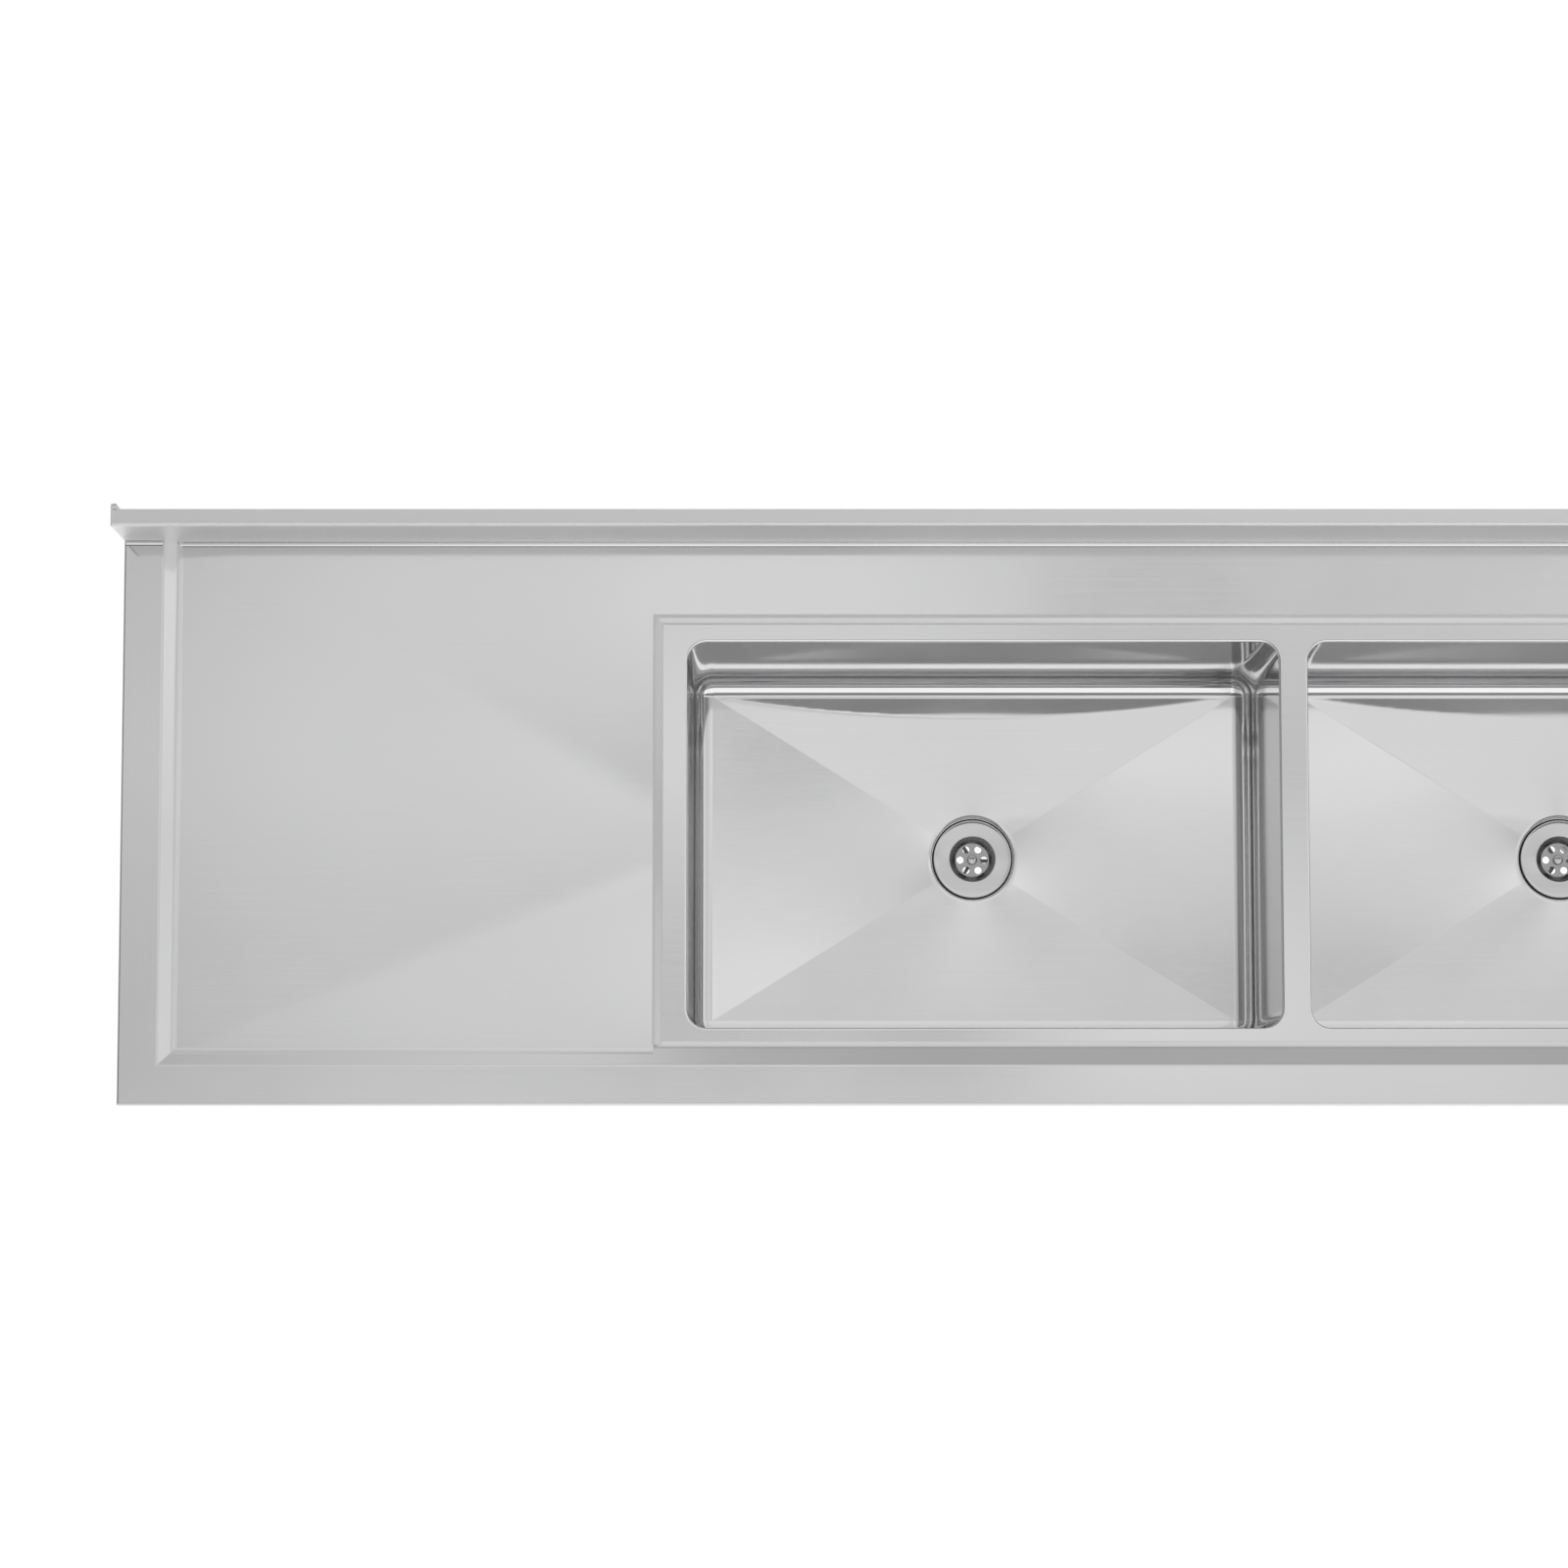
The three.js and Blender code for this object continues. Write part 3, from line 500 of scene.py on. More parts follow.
def add_fillets():
    """Concave welds where the deck meets the edges' slopes and the splash."""
    slope = (-SLOPE_WIDTH, RIM_Z - LAND_Z)
    foot = fillet_section(slope, (1, 0), 14 * MM)
    board_q = RIM_WIDTH + SLOPE_WIDTH * (RIM_Z - BOARD_Z) / (RIM_Z - LAND_Z)
    land_q = RIM_WIDTH + SLOPE_WIDTH
    splash = fillet_section((0, 1), (1, 0), 5 * MM)
    parts = {
        "left_fillet": swept(
            foot,
            lambda q, z: (LEFT + board_q + q, FRONT + board_q + q, BOARD_Z + z),
            lambda q, z: (LEFT + board_q + q, SPLASH_Y, BOARD_Z + z),
        ),
        "front_board_fillet": swept(
            foot,
            lambda q, z: (LEFT + board_q + q, FRONT + board_q + q, BOARD_Z + z),
            lambda q, z: (SEAM_X, FRONT + board_q + q, BOARD_Z + z),
        ),
        "front_land_fillet": swept(
            foot,
            lambda q, z: (SEAM_X, FRONT + land_q + q, LAND_Z + z),
            lambda q, z: (RIGHT - land_q - q, FRONT + land_q + q, LAND_Z + z),
        ),
        "right_fillet": swept(
            foot,
            lambda q, z: (RIGHT - land_q - q, FRONT + land_q + q, LAND_Z + z),
            lambda q, z: (RIGHT - land_q - q, LAND_BACK, LAND_Z + z),
        ),
        "splash_fillet": swept(
            splash,
            lambda q, z: (LEFT + board_q, SPLASH_Y - q, BOARD_Z + z),
            lambda q, z: (RIGHT - board_q, SPLASH_Y - q, BOARD_Z + z),
        ),
    }
    for side, outer, inward in (("left", LEFT, 1), ("right", RIGHT, -1)):
        ends = (outer + inward * 2 * MM, outer + inward * (RIM_WIDTH - 1 * MM))
        start, stop = sorted(ends)
        parts[f"rim_fillet_{side}"] = swept(
            splash,
            lambda q, z: (start, SPLASH_Y - q, RIM_Z + z),
            lambda q, z: (stop, SPLASH_Y - q, RIM_Z + z),
        )
    for name, solid in parts.items():
        grain = "top_y" if name in ("left_fillet", "right_fillet") else "top_x"
        piece(name, *solid, grain, "top_steel")


def add_splash():
    """The splash, folded over to a rear return, and a plate with a rear tab at each of its ends."""
    rear = SPLASH_HIGH.y
    top = SPLASH_HIGH.z
    rear_return = 25 * MM
    path = [(rear, top - rear_return), (rear, top), (SPLASH_Y, top), (SPLASH_Y, APRON_Z)]
    section = sheet_section(rounded(path, [2.5 * MM, 4 * MM]))
    sheet = swept(section, lambda a, b: (LEFT + SHEET, a, b), lambda a, b: (RIGHT - SHEET, a, b))
    piece("splash_sheet", *sheet, "splash", "top_steel", replaces=["backsplash"])
    for side, x, inward in (("left", LEFT, 1), ("right", RIGHT, -1)):
        tab_x = x + inward * 6 * MM
        path = [(tab_x, BACK), (x, BACK), (x, SPLASH_Y)]
        path = rounded(path, 2 * MM)
        section = sheet_section(path if inward > 0 else path[::-1])
        sheet = swept(section, lambda a, b: (a, b, APRON_Z), lambda a, b: (a, b, top))
        name = f"splash_end_plate_{side}"
        piece(name, *sheet, "top_y", "top_steel", replaces=[f"splash_end_{side}"])


# ---------- drainboard, ledge and bowl surround ----------
def soft_max(a, b, width):
    """The larger of two heights, with the crease between them eased over a height of about width."""
    return (a + b + np.sqrt((a - b) ** 2 + width**2)) / 2


def board_height(x, y):
    """The drainboard's surface: three facets that fall to the spillway at the seam."""
    fall = BOARD_Z - LAND_Z
    low, high = LEFT + BOARD_INSET, SEAM_X
    middle = BOARD_Z - fall * np.clip((x - low) / (high - low), 0, 1)
    near = BOARD_Z - fall * (y - BOARD_LOW.y) / (BOWL_Y - SPILLWAY / 2 - BOARD_LOW.y)
    far = BOARD_Z - fall * (BOARD_HIGH.y - y) / (BOARD_HIGH.y - BOWL_Y - SPILLWAY / 2)
    height = soft_max(soft_max(middle, near, CREASE), far, CREASE)
    height = np.where(x > high + 1e-6, far, height)
    return np.minimum(height, BOARD_Z)


def spaced(start, end, step):
    """Even numbers from start to end, about a step apart."""
    return np.linspace(start, end, max(2, int(round((end - start) / step)) + 1))


def thickened(top, faces):
    """A closed sheet: the faces, their copies on the underside, and a wall along each open edge."""
    count = len(top)
    under = [(x, y, z - SHEET) for x, y, z in top]
    borders = {}
    for face in faces:
        for a, b in zip(face, face[1:] + face[:1]):
            if (b, a) in borders:
                del borders[(b, a)]
            else:
                borders[(a, b)] = True
    walls = [(b, a, a + count, b + count) for a, b in borders]
    return top + under, faces + [tuple(i + count for i in reversed(f)) for f in faces] + walls


def slab(cells, height):
    """A sheet over cells, each (x0, x1, y0, y1), with its top at height(x, y)."""
    index, top, faces = {}, [], []

    def corner(x, y):
        key = (round(x * 1e6), round(y * 1e6))
        if key not in index:
            index[key] = len(top)
            top.append((x, y, float(height(x, y))))
        return index[key]

    for x0, x1, y0, y1 in cells:
        faces.append((corner(x0, y0), corner(x1, y0), corner(x1, y1), corner(x0, y1)))
    return thickened(top, faces)


def cells_between(xs, ys):
    return [(a, b, c, d) for a, b in zip(xs, xs[1:]) for c, d in zip(ys, ys[1:])]


def add_deck():
    """The drainboard, which goes on as the ledge behind the bowls, and the surround let into it."""
    tucked = 1 * MM  # how far the sheet reaches under the edges' slopes
    low_x, low_y = LEFT + BOARD_INSET - tucked, FRONT + BOARD_INSET - tucked
    cell, ledge_cell = 12 * MM, 40 * MM
    board_xs = spaced(low_x, SEAM_X, cell)
    rear_ys = spaced(LAND_BACK, SPLASH_Y, cell)
    cells = cells_between(board_xs, spaced(low_y, LAND_BACK, cell)) + cells_between(board_xs, rear_ys)
    cells += cells_between(spaced(SEAM_X, LAND_HIGH.x, ledge_cell), rear_ys)
    sheet = slab(cells, board_height)
    piece("drainboard_sheet", *sheet, "top_x", "top_steel", replaces=["drainboard"])
    add_surround()
    add_seam()


def outline(cx, grow, z, draft=0.0):
    """A round-cornered rectangle about a bowl's middle, grown or shrunk, as an array of points.
    The draft moves its sides in without changing its corners' radius."""
    corner, long_side, short_side = 10, 36, 24  # steps
    radius = BOWL_CORNER + grow
    half_x, half_y = HALF_WIDTH - draft + grow - radius, HALF_DEPTH - draft + grow - radius
    points = []
    for k, (sx, sy) in enumerate(((1, 1), (-1, 1), (-1, -1), (1, -1))):
        middle = np.array((sx * half_x, sy * half_y))
        for step in range(corner + 1):
            angle = (k + step / corner) * math.pi / 2
            points.append(middle + radius * np.array((math.cos(angle), math.sin(angle))))
        nx, ny = ((-1, 1), (-1, -1), (1, -1), (1, 1))[k]
        end_angle = (k + 1) * math.pi / 2
        begin = points[-1]
        finish = np.array((nx * half_x, ny * half_y)) + radius * np.array(
            (math.cos(end_angle), math.sin(end_angle))
        )
        sides = long_side if k % 2 == 0 else short_side
        for step in range(1, sides):
            points.append(begin + (finish - begin) * step / sides)
    flat = np.array(points)
    return np.column_stack([flat[:, 0] + cx, flat[:, 1] + BOWL_Y, np.full(len(flat), z)])


def add_surround():
    """The flat plate round the bowls, with an opening at each bowl's rolled lip."""
    work = bmesh.new()
    loops = [
        [
            (SEAM_X, LAND_LOW.y, LAND_Z),
            (LAND_HIGH.x, LAND_LOW.y, LAND_Z),
            (LAND_HIGH.x, LAND_BACK, LAND_Z),
            (SEAM_X, LAND_BACK, LAND_Z),
        ]
    ] + [outline(BOWL_X[side], LIP, LAND_Z) for side in SIDES]
    for loop in loops:
        ring = [work.verts.new(p) for p in loop]
        for a, b in zip(ring, ring[1:] + ring[:1]):
            work.edges.new((a, b))
    bmesh.ops.triangle_fill(work, use_beauty=True, edges=work.edges)
    bmesh.ops.recalc_face_normals(work, faces=work.faces)
    up = sum(f.normal.z * f.calc_area() for f in work.faces)
    work.verts.index_update()
    verts = [tuple(v.co) for v in work.verts]
    faces = [tuple(v.index for v in (f.verts if up > 0 else reversed(f.verts))) for f in work.faces]
    work.free()
    piece("surround_plate", *thickened(verts, faces), "top_x", "top_steel", replaces=["bowl_surround"])


def add_seam():
    """The ground weld that lets the surround into the drainboard's sheet: up the left side, then along."""
    width, over, proud, sunk = 9 * MM, 1.5 * MM, 0.03 * MM, 0.5 * MM

    def section(point, inward, edge_height):
        """From the sheet's edge, down a soft ramp to the land."""
        step = edge_height - LAND_Z
        shares = np.linspace(0, 1, 9)
        ramp = [(width * t, step * (1 + math.cos(math.pi * t)) / 2 + proud) for t in shares]
        under = [(width, -sunk), (-over, -sunk)]
        line = [(-over, step + proud), *ramp, *under]
        return [(point[0] + inward[0] * d, point[1] + inward[1] * d, LAND_Z + h) for d, h in line]

    rings = []
    for y in spaced(LAND_LOW.y, LAND_BACK - width, 8 * MM):
        rings.append(section((SEAM_X, y), (1, 0), float(board_height(SEAM_X, y))))
    rings.append(section((SEAM_X, LAND_BACK), (1, -1), float(board_height(SEAM_X, LAND_BACK))))
    for x in spaced(SEAM_X + width, LAND_HIGH.x, 60 * MM):
        rings.append(section((x, LAND_BACK), (0, -1), float(board_height(x, LAND_BACK))))
    piece("surround_weld", *loft(rings), "weld", "top_steel", sharp=60)


# ---------- bowls ----------
def bowed(x, y, cx):
    """How far the floor stands above its plain facet: a strip along the back wall lies nearly level, and
    narrows to nothing at the bowl's two back corners."""
    half_x, half_y = HALF_WIDTH - DRAFT - COVE, HALF_DEPTH - DRAFT - COVE
    run = half_y - SEAT_RADIUS
    inward = half_y - (y - BOWL_Y)
    along = np.clip(np.abs(x - cx) / half_x, 0, 1)
    level = LEVEL_WIDTH * (1 - along**2)
    slope = FLOOR_FALL / run + LEVEL_RISE
    near = slope * inward
    beyond = slope * level * (run - inward) / (run - level)
    within = (inward < run) & ((y - BOWL_Y) / half_y > along)
    return np.where(within, np.minimum(near, np.maximum(beyond, 0)), 0)


def floor_rings(cx, skin):
    """Rings from the cove to the waste's seat: a floor in four facets with a crease from each corner."""
    count = 60
    edge = outline(cx, -COVE, 0, DRAFT)
    centre = np.array((cx, BOWL_Y))
    away = edge[:, :2] - centre
    reach = np.linalg.norm(away, axis=1)[:, None]
    circle = away / reach * (SEAT_RADIUS + skin)
    rings = []
    for t in np.linspace(0, 1, count)[1:]:
        flat = away * (1 - t) + circle * t + centre
        z = FLOOR_Z - skin - FLOOR_FALL * t + bowed(flat[:, 0], flat[:, 1], cx)
        rings.append(np.column_stack([flat, z]))
    return rings


def round_ring(cx, radius, z):
    """A circle about the waste whose points lie on the same rays as the floor's."""
    edge = outline(cx, -COVE, 0, DRAFT)
    centre = np.array((cx, BOWL_Y))
    away = edge[:, :2] - centre
    flat = away / np.linalg.norm(away, axis=1)[:, None] * radius + centre
    return np.column_stack([flat, np.full(len(flat), z)])


def bowl_skin(cx, skin):
    """Rings of the bowl's inner face (skin 0) or its outer face (skin = the sheet's thickness)."""
    rings = []
    lip = LIP - skin
    for angle in np.radians(np.linspace(0, 90, 6)):
        grow = skin + lip * (1 - math.sin(angle))
        rings.append(outline(cx, grow, LAND_Z - LIP + lip * math.cos(angle)))
    wall_top, wall_foot = LAND_Z - LIP, FLOOR_Z + COVE
    for t in (0.02, 0.5, 0.98):
        rings.append(outline(cx, skin, wall_top + (wall_foot - wall_top) * t, DRAFT * t))
    for angle in np.radians(np.linspace(0, 90, 11)):
        radius = COVE + skin
        grow = -COVE + radius * math.cos(angle)
        rings.append(outline(cx, grow, wall_foot - radius * math.sin(angle), DRAFT))
    rings += floor_rings(cx, skin)
    rings.append(round_ring(cx, SEAT_RADIUS - 0.5 * MM + skin, FLOOR_LOW_Z - 0.4 * MM - skin))
    rings.append(round_ring(cx, SEAT_RADIUS - 0.8 * MM + skin, SEAT_Z + 0.4 * MM - skin))
    rings.append(round_ring(cx, SEAT_RADIUS - 1.3 * MM + skin, SEAT_Z - skin))
    rings.append(round_ring(cx, FLOOR_HOLE, SEAT_Z - skin))
    return rings


def add_bowls():
    """Three pressed shells with rolled lips, coved floors and an open seat for the waste."""
    for side in SIDES:
        cx = BOWL_X[side]
        rings = bowl_skin(cx, 0.0) + bowl_skin(cx, SHEET)[::-1]
        verts, faces = loft(rings, closed=True)
        piece(f"bowl_shell_{side}", verts, faces, "bowl", "bowl_steel", replaces=[f"bowl_{side}"], sharp=40)


# ---------- wastes ----------
def add_waste(side):
    """A dished flange with its throat, grid and screw, between a seal above the bowl and a gasket below."""
    cx = BOWL_X[side]
    name = f"waste_flange_{side}"
    low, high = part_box(name)
    grid_low, lip = low.z, high.z
    grid_top = grid_low + SHEET
    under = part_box(f"waste_seal_{side}")[1].z + 0.3 * MM
    wall = THROAT + SHEET
    rim = FLANGE_RADIUS - 1.4 * MM
    mouth = SEAT_Z + 0.6 * MM
    joint = mouth - 2 * MM
    bore = THROAT - 1.2 * MM
    roll, rim_roll = 1.6 * MM, 1.1 * MM
    profile = [(bore, joint)]
    profile += arc((bore + roll, mouth), roll, 180, 100, 5)
    profile += [(rim - 4 * MM, lip - 0.5 * MM)]
    profile += arc((rim - rim_roll, lip - rim_roll), rim_roll, 110, -20, 6)
    profile += [(rim - 0.4 * MM, under), (wall + 2 * MM, under), (wall, SEAT_Z - 1 * MM), (wall, joint)]
    solid = lathe(profile, cx, BOWL_Y, 96)
    piece(f"waste_flange_ring_{side}", *solid, "waste", "waste_steel", replaces=[name], sharp=50)
    below = joint - 0.1 * MM
    throat = [(GRID_EDGE, grid_low), (GRID_EDGE, grid_top + 0.5 * MM), (bore, below), (wall, below)]
    throat += [(wall, grid_low)]
    # The throat takes the grid's darker steel: painted shade below the flange's rim.
    piece(f"waste_throat_{side}", *lathe(throat, cx, BOWL_Y, 96), "grid", "waste_steel", sharp=50)
    add_grid(side, cx, grid_low, grid_top)
    add_screw(side, cx)
    for part, outer in (("seal", FLANGE_RADIUS + 0.2 * MM), ("gasket", FLANGE_RADIUS)):
        name = f"waste_{part}_{side}"
        low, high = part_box(name)
        r = (high.z - low.z) * 0.4
        inner = FLOOR_HOLE + r
        outer -= r
        profile = arc((outer, high.z - r), r, 90, 0, 4) + arc((outer, low.z + r), r, 0, -90, 4)
        profile += arc((inner, low.z + r), r, 270, 180, 4) + arc((inner, high.z - r), r, 180, 90, 4)
        solid = lathe(profile, cx, BOWL_Y, 72)
        piece(f"waste_{part}_ring_{side}", *solid, "rubber", "seal_rubber", replaces=[name])
    add_waste_body(side, cx)


def add_grid(side, cx, low, high):
    """The grid: a plate with six holes with eased edges, round a centre hole for the screw."""
    screw_hole = 3.4 * MM
    curve = bpy.data.curves.new(f"grid_{side}", "CURVE")
    curve.dimensions = "2D"
    curve.fill_mode = "BOTH"
    curve.bevel_depth = 0.35 * MM
    curve.bevel_resolution = 2
    curve.extrude = (high - low) / 2 - curve.bevel_depth
    circles = [(0, 0, GRID_EDGE + 0.2 * MM - curve.bevel_depth, 64), (0, 0, screw_hole, 20)]
    for k in range(GRID_HOLES):
        angle = k * 2 * math.pi / GRID_HOLES
        hole = HOLE_RADIUS + curve.bevel_depth
        circles.append((HOLE_CIRCLE * math.cos(angle), HOLE_CIRCLE * math.sin(angle), hole, 28))
    for x, y, radius, sides in circles:
        spline = curve.splines.new("POLY")
        spline.points.add(sides - 1)
        for i, point in enumerate(spline.points):
            a = 2 * math.pi * i / sides
            point.co = (x + radius * math.cos(a), y + radius * math.sin(a), 0, 1)
        spline.use_cyclic_u = True
    shape = bpy.data.objects.new(f"grid_shape_{side}", curve)
    bpy.context.scene.collection.objects.link(shape)
    bpy.context.view_layer.update()
    mesh = shape.to_mesh()
    middle = (high + low) / 2
    verts = [(v.co.x + cx, v.co.y + BOWL_Y, v.co.z + middle) for v in mesh.vertices]
    faces = [tuple(p.vertices) for p in mesh.polygons]
    shape.to_mesh_clear()
    bpy.data.objects.remove(shape)
    piece(f"waste_grid_{side}", verts, faces, "grid", "waste_steel", sharp=40)


def add_screw(side, cx):
    """The grid's centre screw, with a domed, slotted head."""
    name = f"waste_screw_{side}"
    low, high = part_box(name)
    head, shank, crown = 5.5 * MM, 2.9 * MM, 2.2 * MM
    base = high.z - 3 * MM
    dome = [(0, high.z)] + arc((head - crown, high.z - crown), crown, 90, 0, 5)
    profile = dome + [(head, base), (shank, base), (shank, low.z), (0, low.z)]
    verts, faces = lathe(profile, cx, BOWL_Y, 40)
    slot_half = 1.12 * MM
    face = high.z - 0.3 * MM
    sunk = 1.1 * MM
    moved = []
    for x, y, z in verts:
        in_slot = z > face and abs(y - BOWL_Y) < slot_half
        moved.append((x, y, z - sunk if in_slot else z))
    piece(f"waste_screw_slotted_{side}", moved, faces, "waste", "waste_steel", replaces=[name])


def thread(radius, depth, low, high, pitch):
    """The zigzag of a thread's section, from high to low."""
    turns = int((high - low) / pitch)
    points = []
    for k in range(turns):
        z = high - k * pitch
        points += [(radius - depth, z), (radius, z - pitch * 0.35), (radius, z - pitch * 0.65)]
    return points + [(radius - depth, low)]


def add_waste_body(side, cx):
    """The outlet tube: a cup under the bowl, a threaded end, and the spider that takes the screw."""
    low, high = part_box(f"waste_body_{side}")
    top, end = high.z, low.z
    cup = THROAT + SHEET + 2 * MM
    cup_outside = cup + 3 * MM
    out = OUTLET_BORE + 3 * MM
    plain = out - 0.3 * MM
    ease = 1.2 * MM
    outside = [(out - 0.6 * MM, end)] + thread(out, 1.1 * MM, end, end + 26 * MM, 2.3 * MM)[::-1]
    outside += [(plain, end + 27 * MM), (plain, top - 29 * MM), (cup_outside, top - 18 * MM)]
    outside += [(cup_outside, top - 7 * MM), (FLANGE_RADIUS - 1 * MM, top - 4 * MM)]
    outside += arc((FLANGE_RADIUS - ease, top - 1.4 * MM), ease, -60, 80, 5)
    inside = [(cup, top), (cup, top - 16 * MM), (OUTLET_BORE, top - 27 * MM), (OUTLET_BORE, end)]
    shell = lathe(outside + inside, cx, BOWL_Y, 72)
    hub_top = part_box(f"waste_flange_{side}")[0].z - 4 * MM
    hub_end = hub_top - 14 * MM
    arm_z = hub_top - 7 * MM
    hub_bore, hub_radius, tall = 3.4 * MM, 6 * MM, 4.5 * MM
    hub_profile = [(hub_bore, hub_top), (hub_radius, hub_top), (hub_radius, hub_end), (hub_bore, hub_end)]
    hub = lathe(hub_profile, cx, BOWL_Y, 32)
    arms = []
    for k in range(SPIDER_ARMS):
        angle = 2 * math.pi * k / SPIDER_ARMS
        c, s = math.cos(angle), math.sin(angle)
        rings = []
        for r, half in ((5 * MM, 2.2 * MM), (16 * MM, 1.6 * MM), (29 * MM, 1.9 * MM)):
            rings.append(
                [
                    (cx + r * c - u * s, BOWL_Y + r * s + u * c, arm_z + w)
                    for u, w in ((-half, -tall), (half, -tall), (half, tall), (-half, tall))
                ]
            )
        arms.append(loft(rings))
    solid = joined(shell, hub, *arms)
    replaces = [f"waste_body_{side}"]
    piece(f"waste_outlet_{side}", *solid, "body", "waste_plastic", replaces=replaces, sharp=38)


# ---------- the frame under the top ----------
def add_channels():
    """The front and rear channels under the top, and the two braces between them."""
    wall = 2 * MM

    def section(centre, low, high, half):
        path = [(centre + half, low), (centre + half, high), (centre - half, high), (centre - half, low)]
        return sheet_section(rounded(path, 3 * MM), wall)

    for name in ("front_channel", "rear_channel"):
        low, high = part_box(name)
        shape = section((low.y + high.y) / 2, low.z, high.z, (high.y - low.y) / 2)
        solid = swept(shape, lambda a, b: (low.x, a, b), lambda a, b: (high.x, a, b))
        piece(f"{name}_fold", *solid, "channel", "channel_steel", replaces=[name])
    for k in (1, 2):
        name = f"drainboard_brace_{k}"
        low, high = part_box(name)
        shape = section((low.x + high.x) / 2, low.z, high.z, (high.x - low.x) / 2)
        solid = swept(shape, lambda a, b: (a, low.y, b), lambda a, b: (a, high.y, b))
        piece(f"{name}_fold", *solid, "channel", "channel_steel", replaces=[name])


def hexagon(x, y, radius):
    return [
        (x + radius * math.cos(a), y + radius * math.sin(a))
        for a in (math.pi / 3 * k for k in range(6))
    ]


def add_leg(row, side):
    """A leg tube with its socket, insert and foot. Returns the middle of its lower end, at height 0."""
    where = f"{row}_{side}"
    low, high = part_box(f"leg_{where}")
    x, y = (low.x + high.x) / 2, (low.y + high.y) / 2
    radius = (high.x - low.x) / 2
    inside = radius - TUBE_WALL
    edge = 0.4 * MM
    profile = [
        (inside, low.z),
        (radius - edge, low.z),
        (radius, low.z + edge),
        (radius, high.z - edge),
        (radius - edge, high.z),
        (inside, high.z),
    ]
    piece(f"leg_tube_{where}", *lathe(profile, x, y), "tube", "leg_steel", replaces=[f"leg_{where}"])
    add_socket(where, x, y, radius)
    add_insert(where, x, y, radius)
    add_foot(where, x, y)
    return Vector((x, y, 0))


def plate(x, y, half_x, half_y, corner, low, high):
    """A flat plate with round corners and eased edges."""
    ease = 0.5 * MM

    def ring(grow, z):
        points = []
        for k, (sx, sy) in enumerate(((1, 1), (-1, 1), (-1, -1), (1, -1))):
            for step in range(7):
                a = (k + step / 6) * math.pi / 2
                r = corner + grow
                points.append(
                    (
                        x + sx * (half_x - corner) + r * math.cos(a),
                        y + sy * (half_y - corner) + r * math.sin(a),
                        z,
                    )
                )
        return points

    return loft([ring(-ease, low), ring(0, low + ease), ring(0, high - ease), ring(-ease, high)])


def add_socket(where, x, y, radius):
    """A cast socket: a skirt round the leg under a plate, with a set screw in its outer side."""
    name = f"leg_socket_{where}"
    low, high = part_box(name)
    inner = radius + 0.15 * MM
    skirt = low.z
    plate_low = high.z - 3 * MM
    profile = [(inner, plate_low), (inner, skirt)]
    profile += arc((inner + 3 * MM, skirt + 1 * MM), 1 * MM, -90, 0, 4)
    profile += [(inner + 6 * MM, plate_low - 9 * MM)]
    profile += arc((inner + 10 * MM, plate_low - 4 * MM), 4 * MM, 180, 90, 6)
    cup = lathe(profile, x, y)
    base = plate(x, y, 45 * MM, 25 * MM, 6 * MM, plate_low, high.z)
    solid = joined(cup, base)
    piece(f"leg_socket_cast_{where}", *solid, "tube", "leg_steel", replaces=[name], sharp=45)
    outward = 1 if x < 0 else -1
    height = skirt + 16 * MM
    reach = inner + 3.5 * MM
    profile = [(2.0, 1.6), (3.5, 1.6), (4.0, 1.1), (4.0, -2.5), (0, -2.5), (0, -0.9), (2.0, -0.9)]
    verts, faces = lathe([(r * MM, z * MM) for r, z in profile], 0, 0, 24)
    turned = [(x + outward * (reach + b), y + a, height + c) for a, c, b in verts]
    piece(f"socket_screw_{where}", turned, faces, "waste", "leg_steel")


def add_insert(where, x, y, radius):
    """The plastic insert in a leg's lower end, with a lip below the tube and a bore for the stud."""
    name = f"leg_insert_{where}"
    low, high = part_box(name)
    inside = radius - TUBE_WALL - 0.3 * MM
    lip = low.z + 3 * MM
    bore, ease = 8.4 * MM, 0.8 * MM
    profile = [(bore, low.z), (radius - ease, low.z)]
    profile += arc((radius - ease, low.z + ease), ease, -90, 0, 4)
    profile += [(radius, lip), (inside, lip), (inside, high.z - 1 * MM)]
    profile += [(inside - 1 * MM, high.z), (bore, high.z)]
    piece(f"insert_{where}", *lathe(profile, x, y), "insert", "insert_plastic", replaces=[name])


def add_foot(where, x, y):
    """A bullet foot: a turned body with a hexagon for a spanner, on a threaded stud."""
    name = f"foot_{where}"
    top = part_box(name)[1].z
    neck = top - 50 * MM
    bullet_mm = [(0, 0), (12.2, 0), (13.6, 0.5), (14.8, 1.8), (15.6, 4), (17.6, 16), (19.2, 28), (20.1, 38)]
    bullet_mm += [(20.4, 46), (20.1, 52), (19.2, 57), (17.4, 60.4)]
    body = [(r * MM, z * MM) for r, z in bullet_mm]
    body += [(14 * MM, neck - 12.6 * MM), (14 * MM, neck - 1 * MM), (13 * MM, neck), (7.2 * MM, neck)]
    stud = thread(8 * MM, 1 * MM, neck + 1 * MM, top - 1 * MM, 2 * MM)[::-1]
    turned = lathe(body + stud + [(6.5 * MM, top), (0, top)], x, y)
    nut_low = neck - 12 * MM
    nut_mm = [(17.6, 0), (19, 1), (19, 8), (17.6, 9)]
    rings = []
    for radius, z in nut_mm:
        rings.append([(px, py, nut_low + z * MM) for px, py in hexagon(x, y, radius * MM)])
    nut = loft(rings)
    piece(f"bullet_{where}", *joined(turned, nut), "tube", "leg_steel", body=name, replaces=[name], sharp=28)


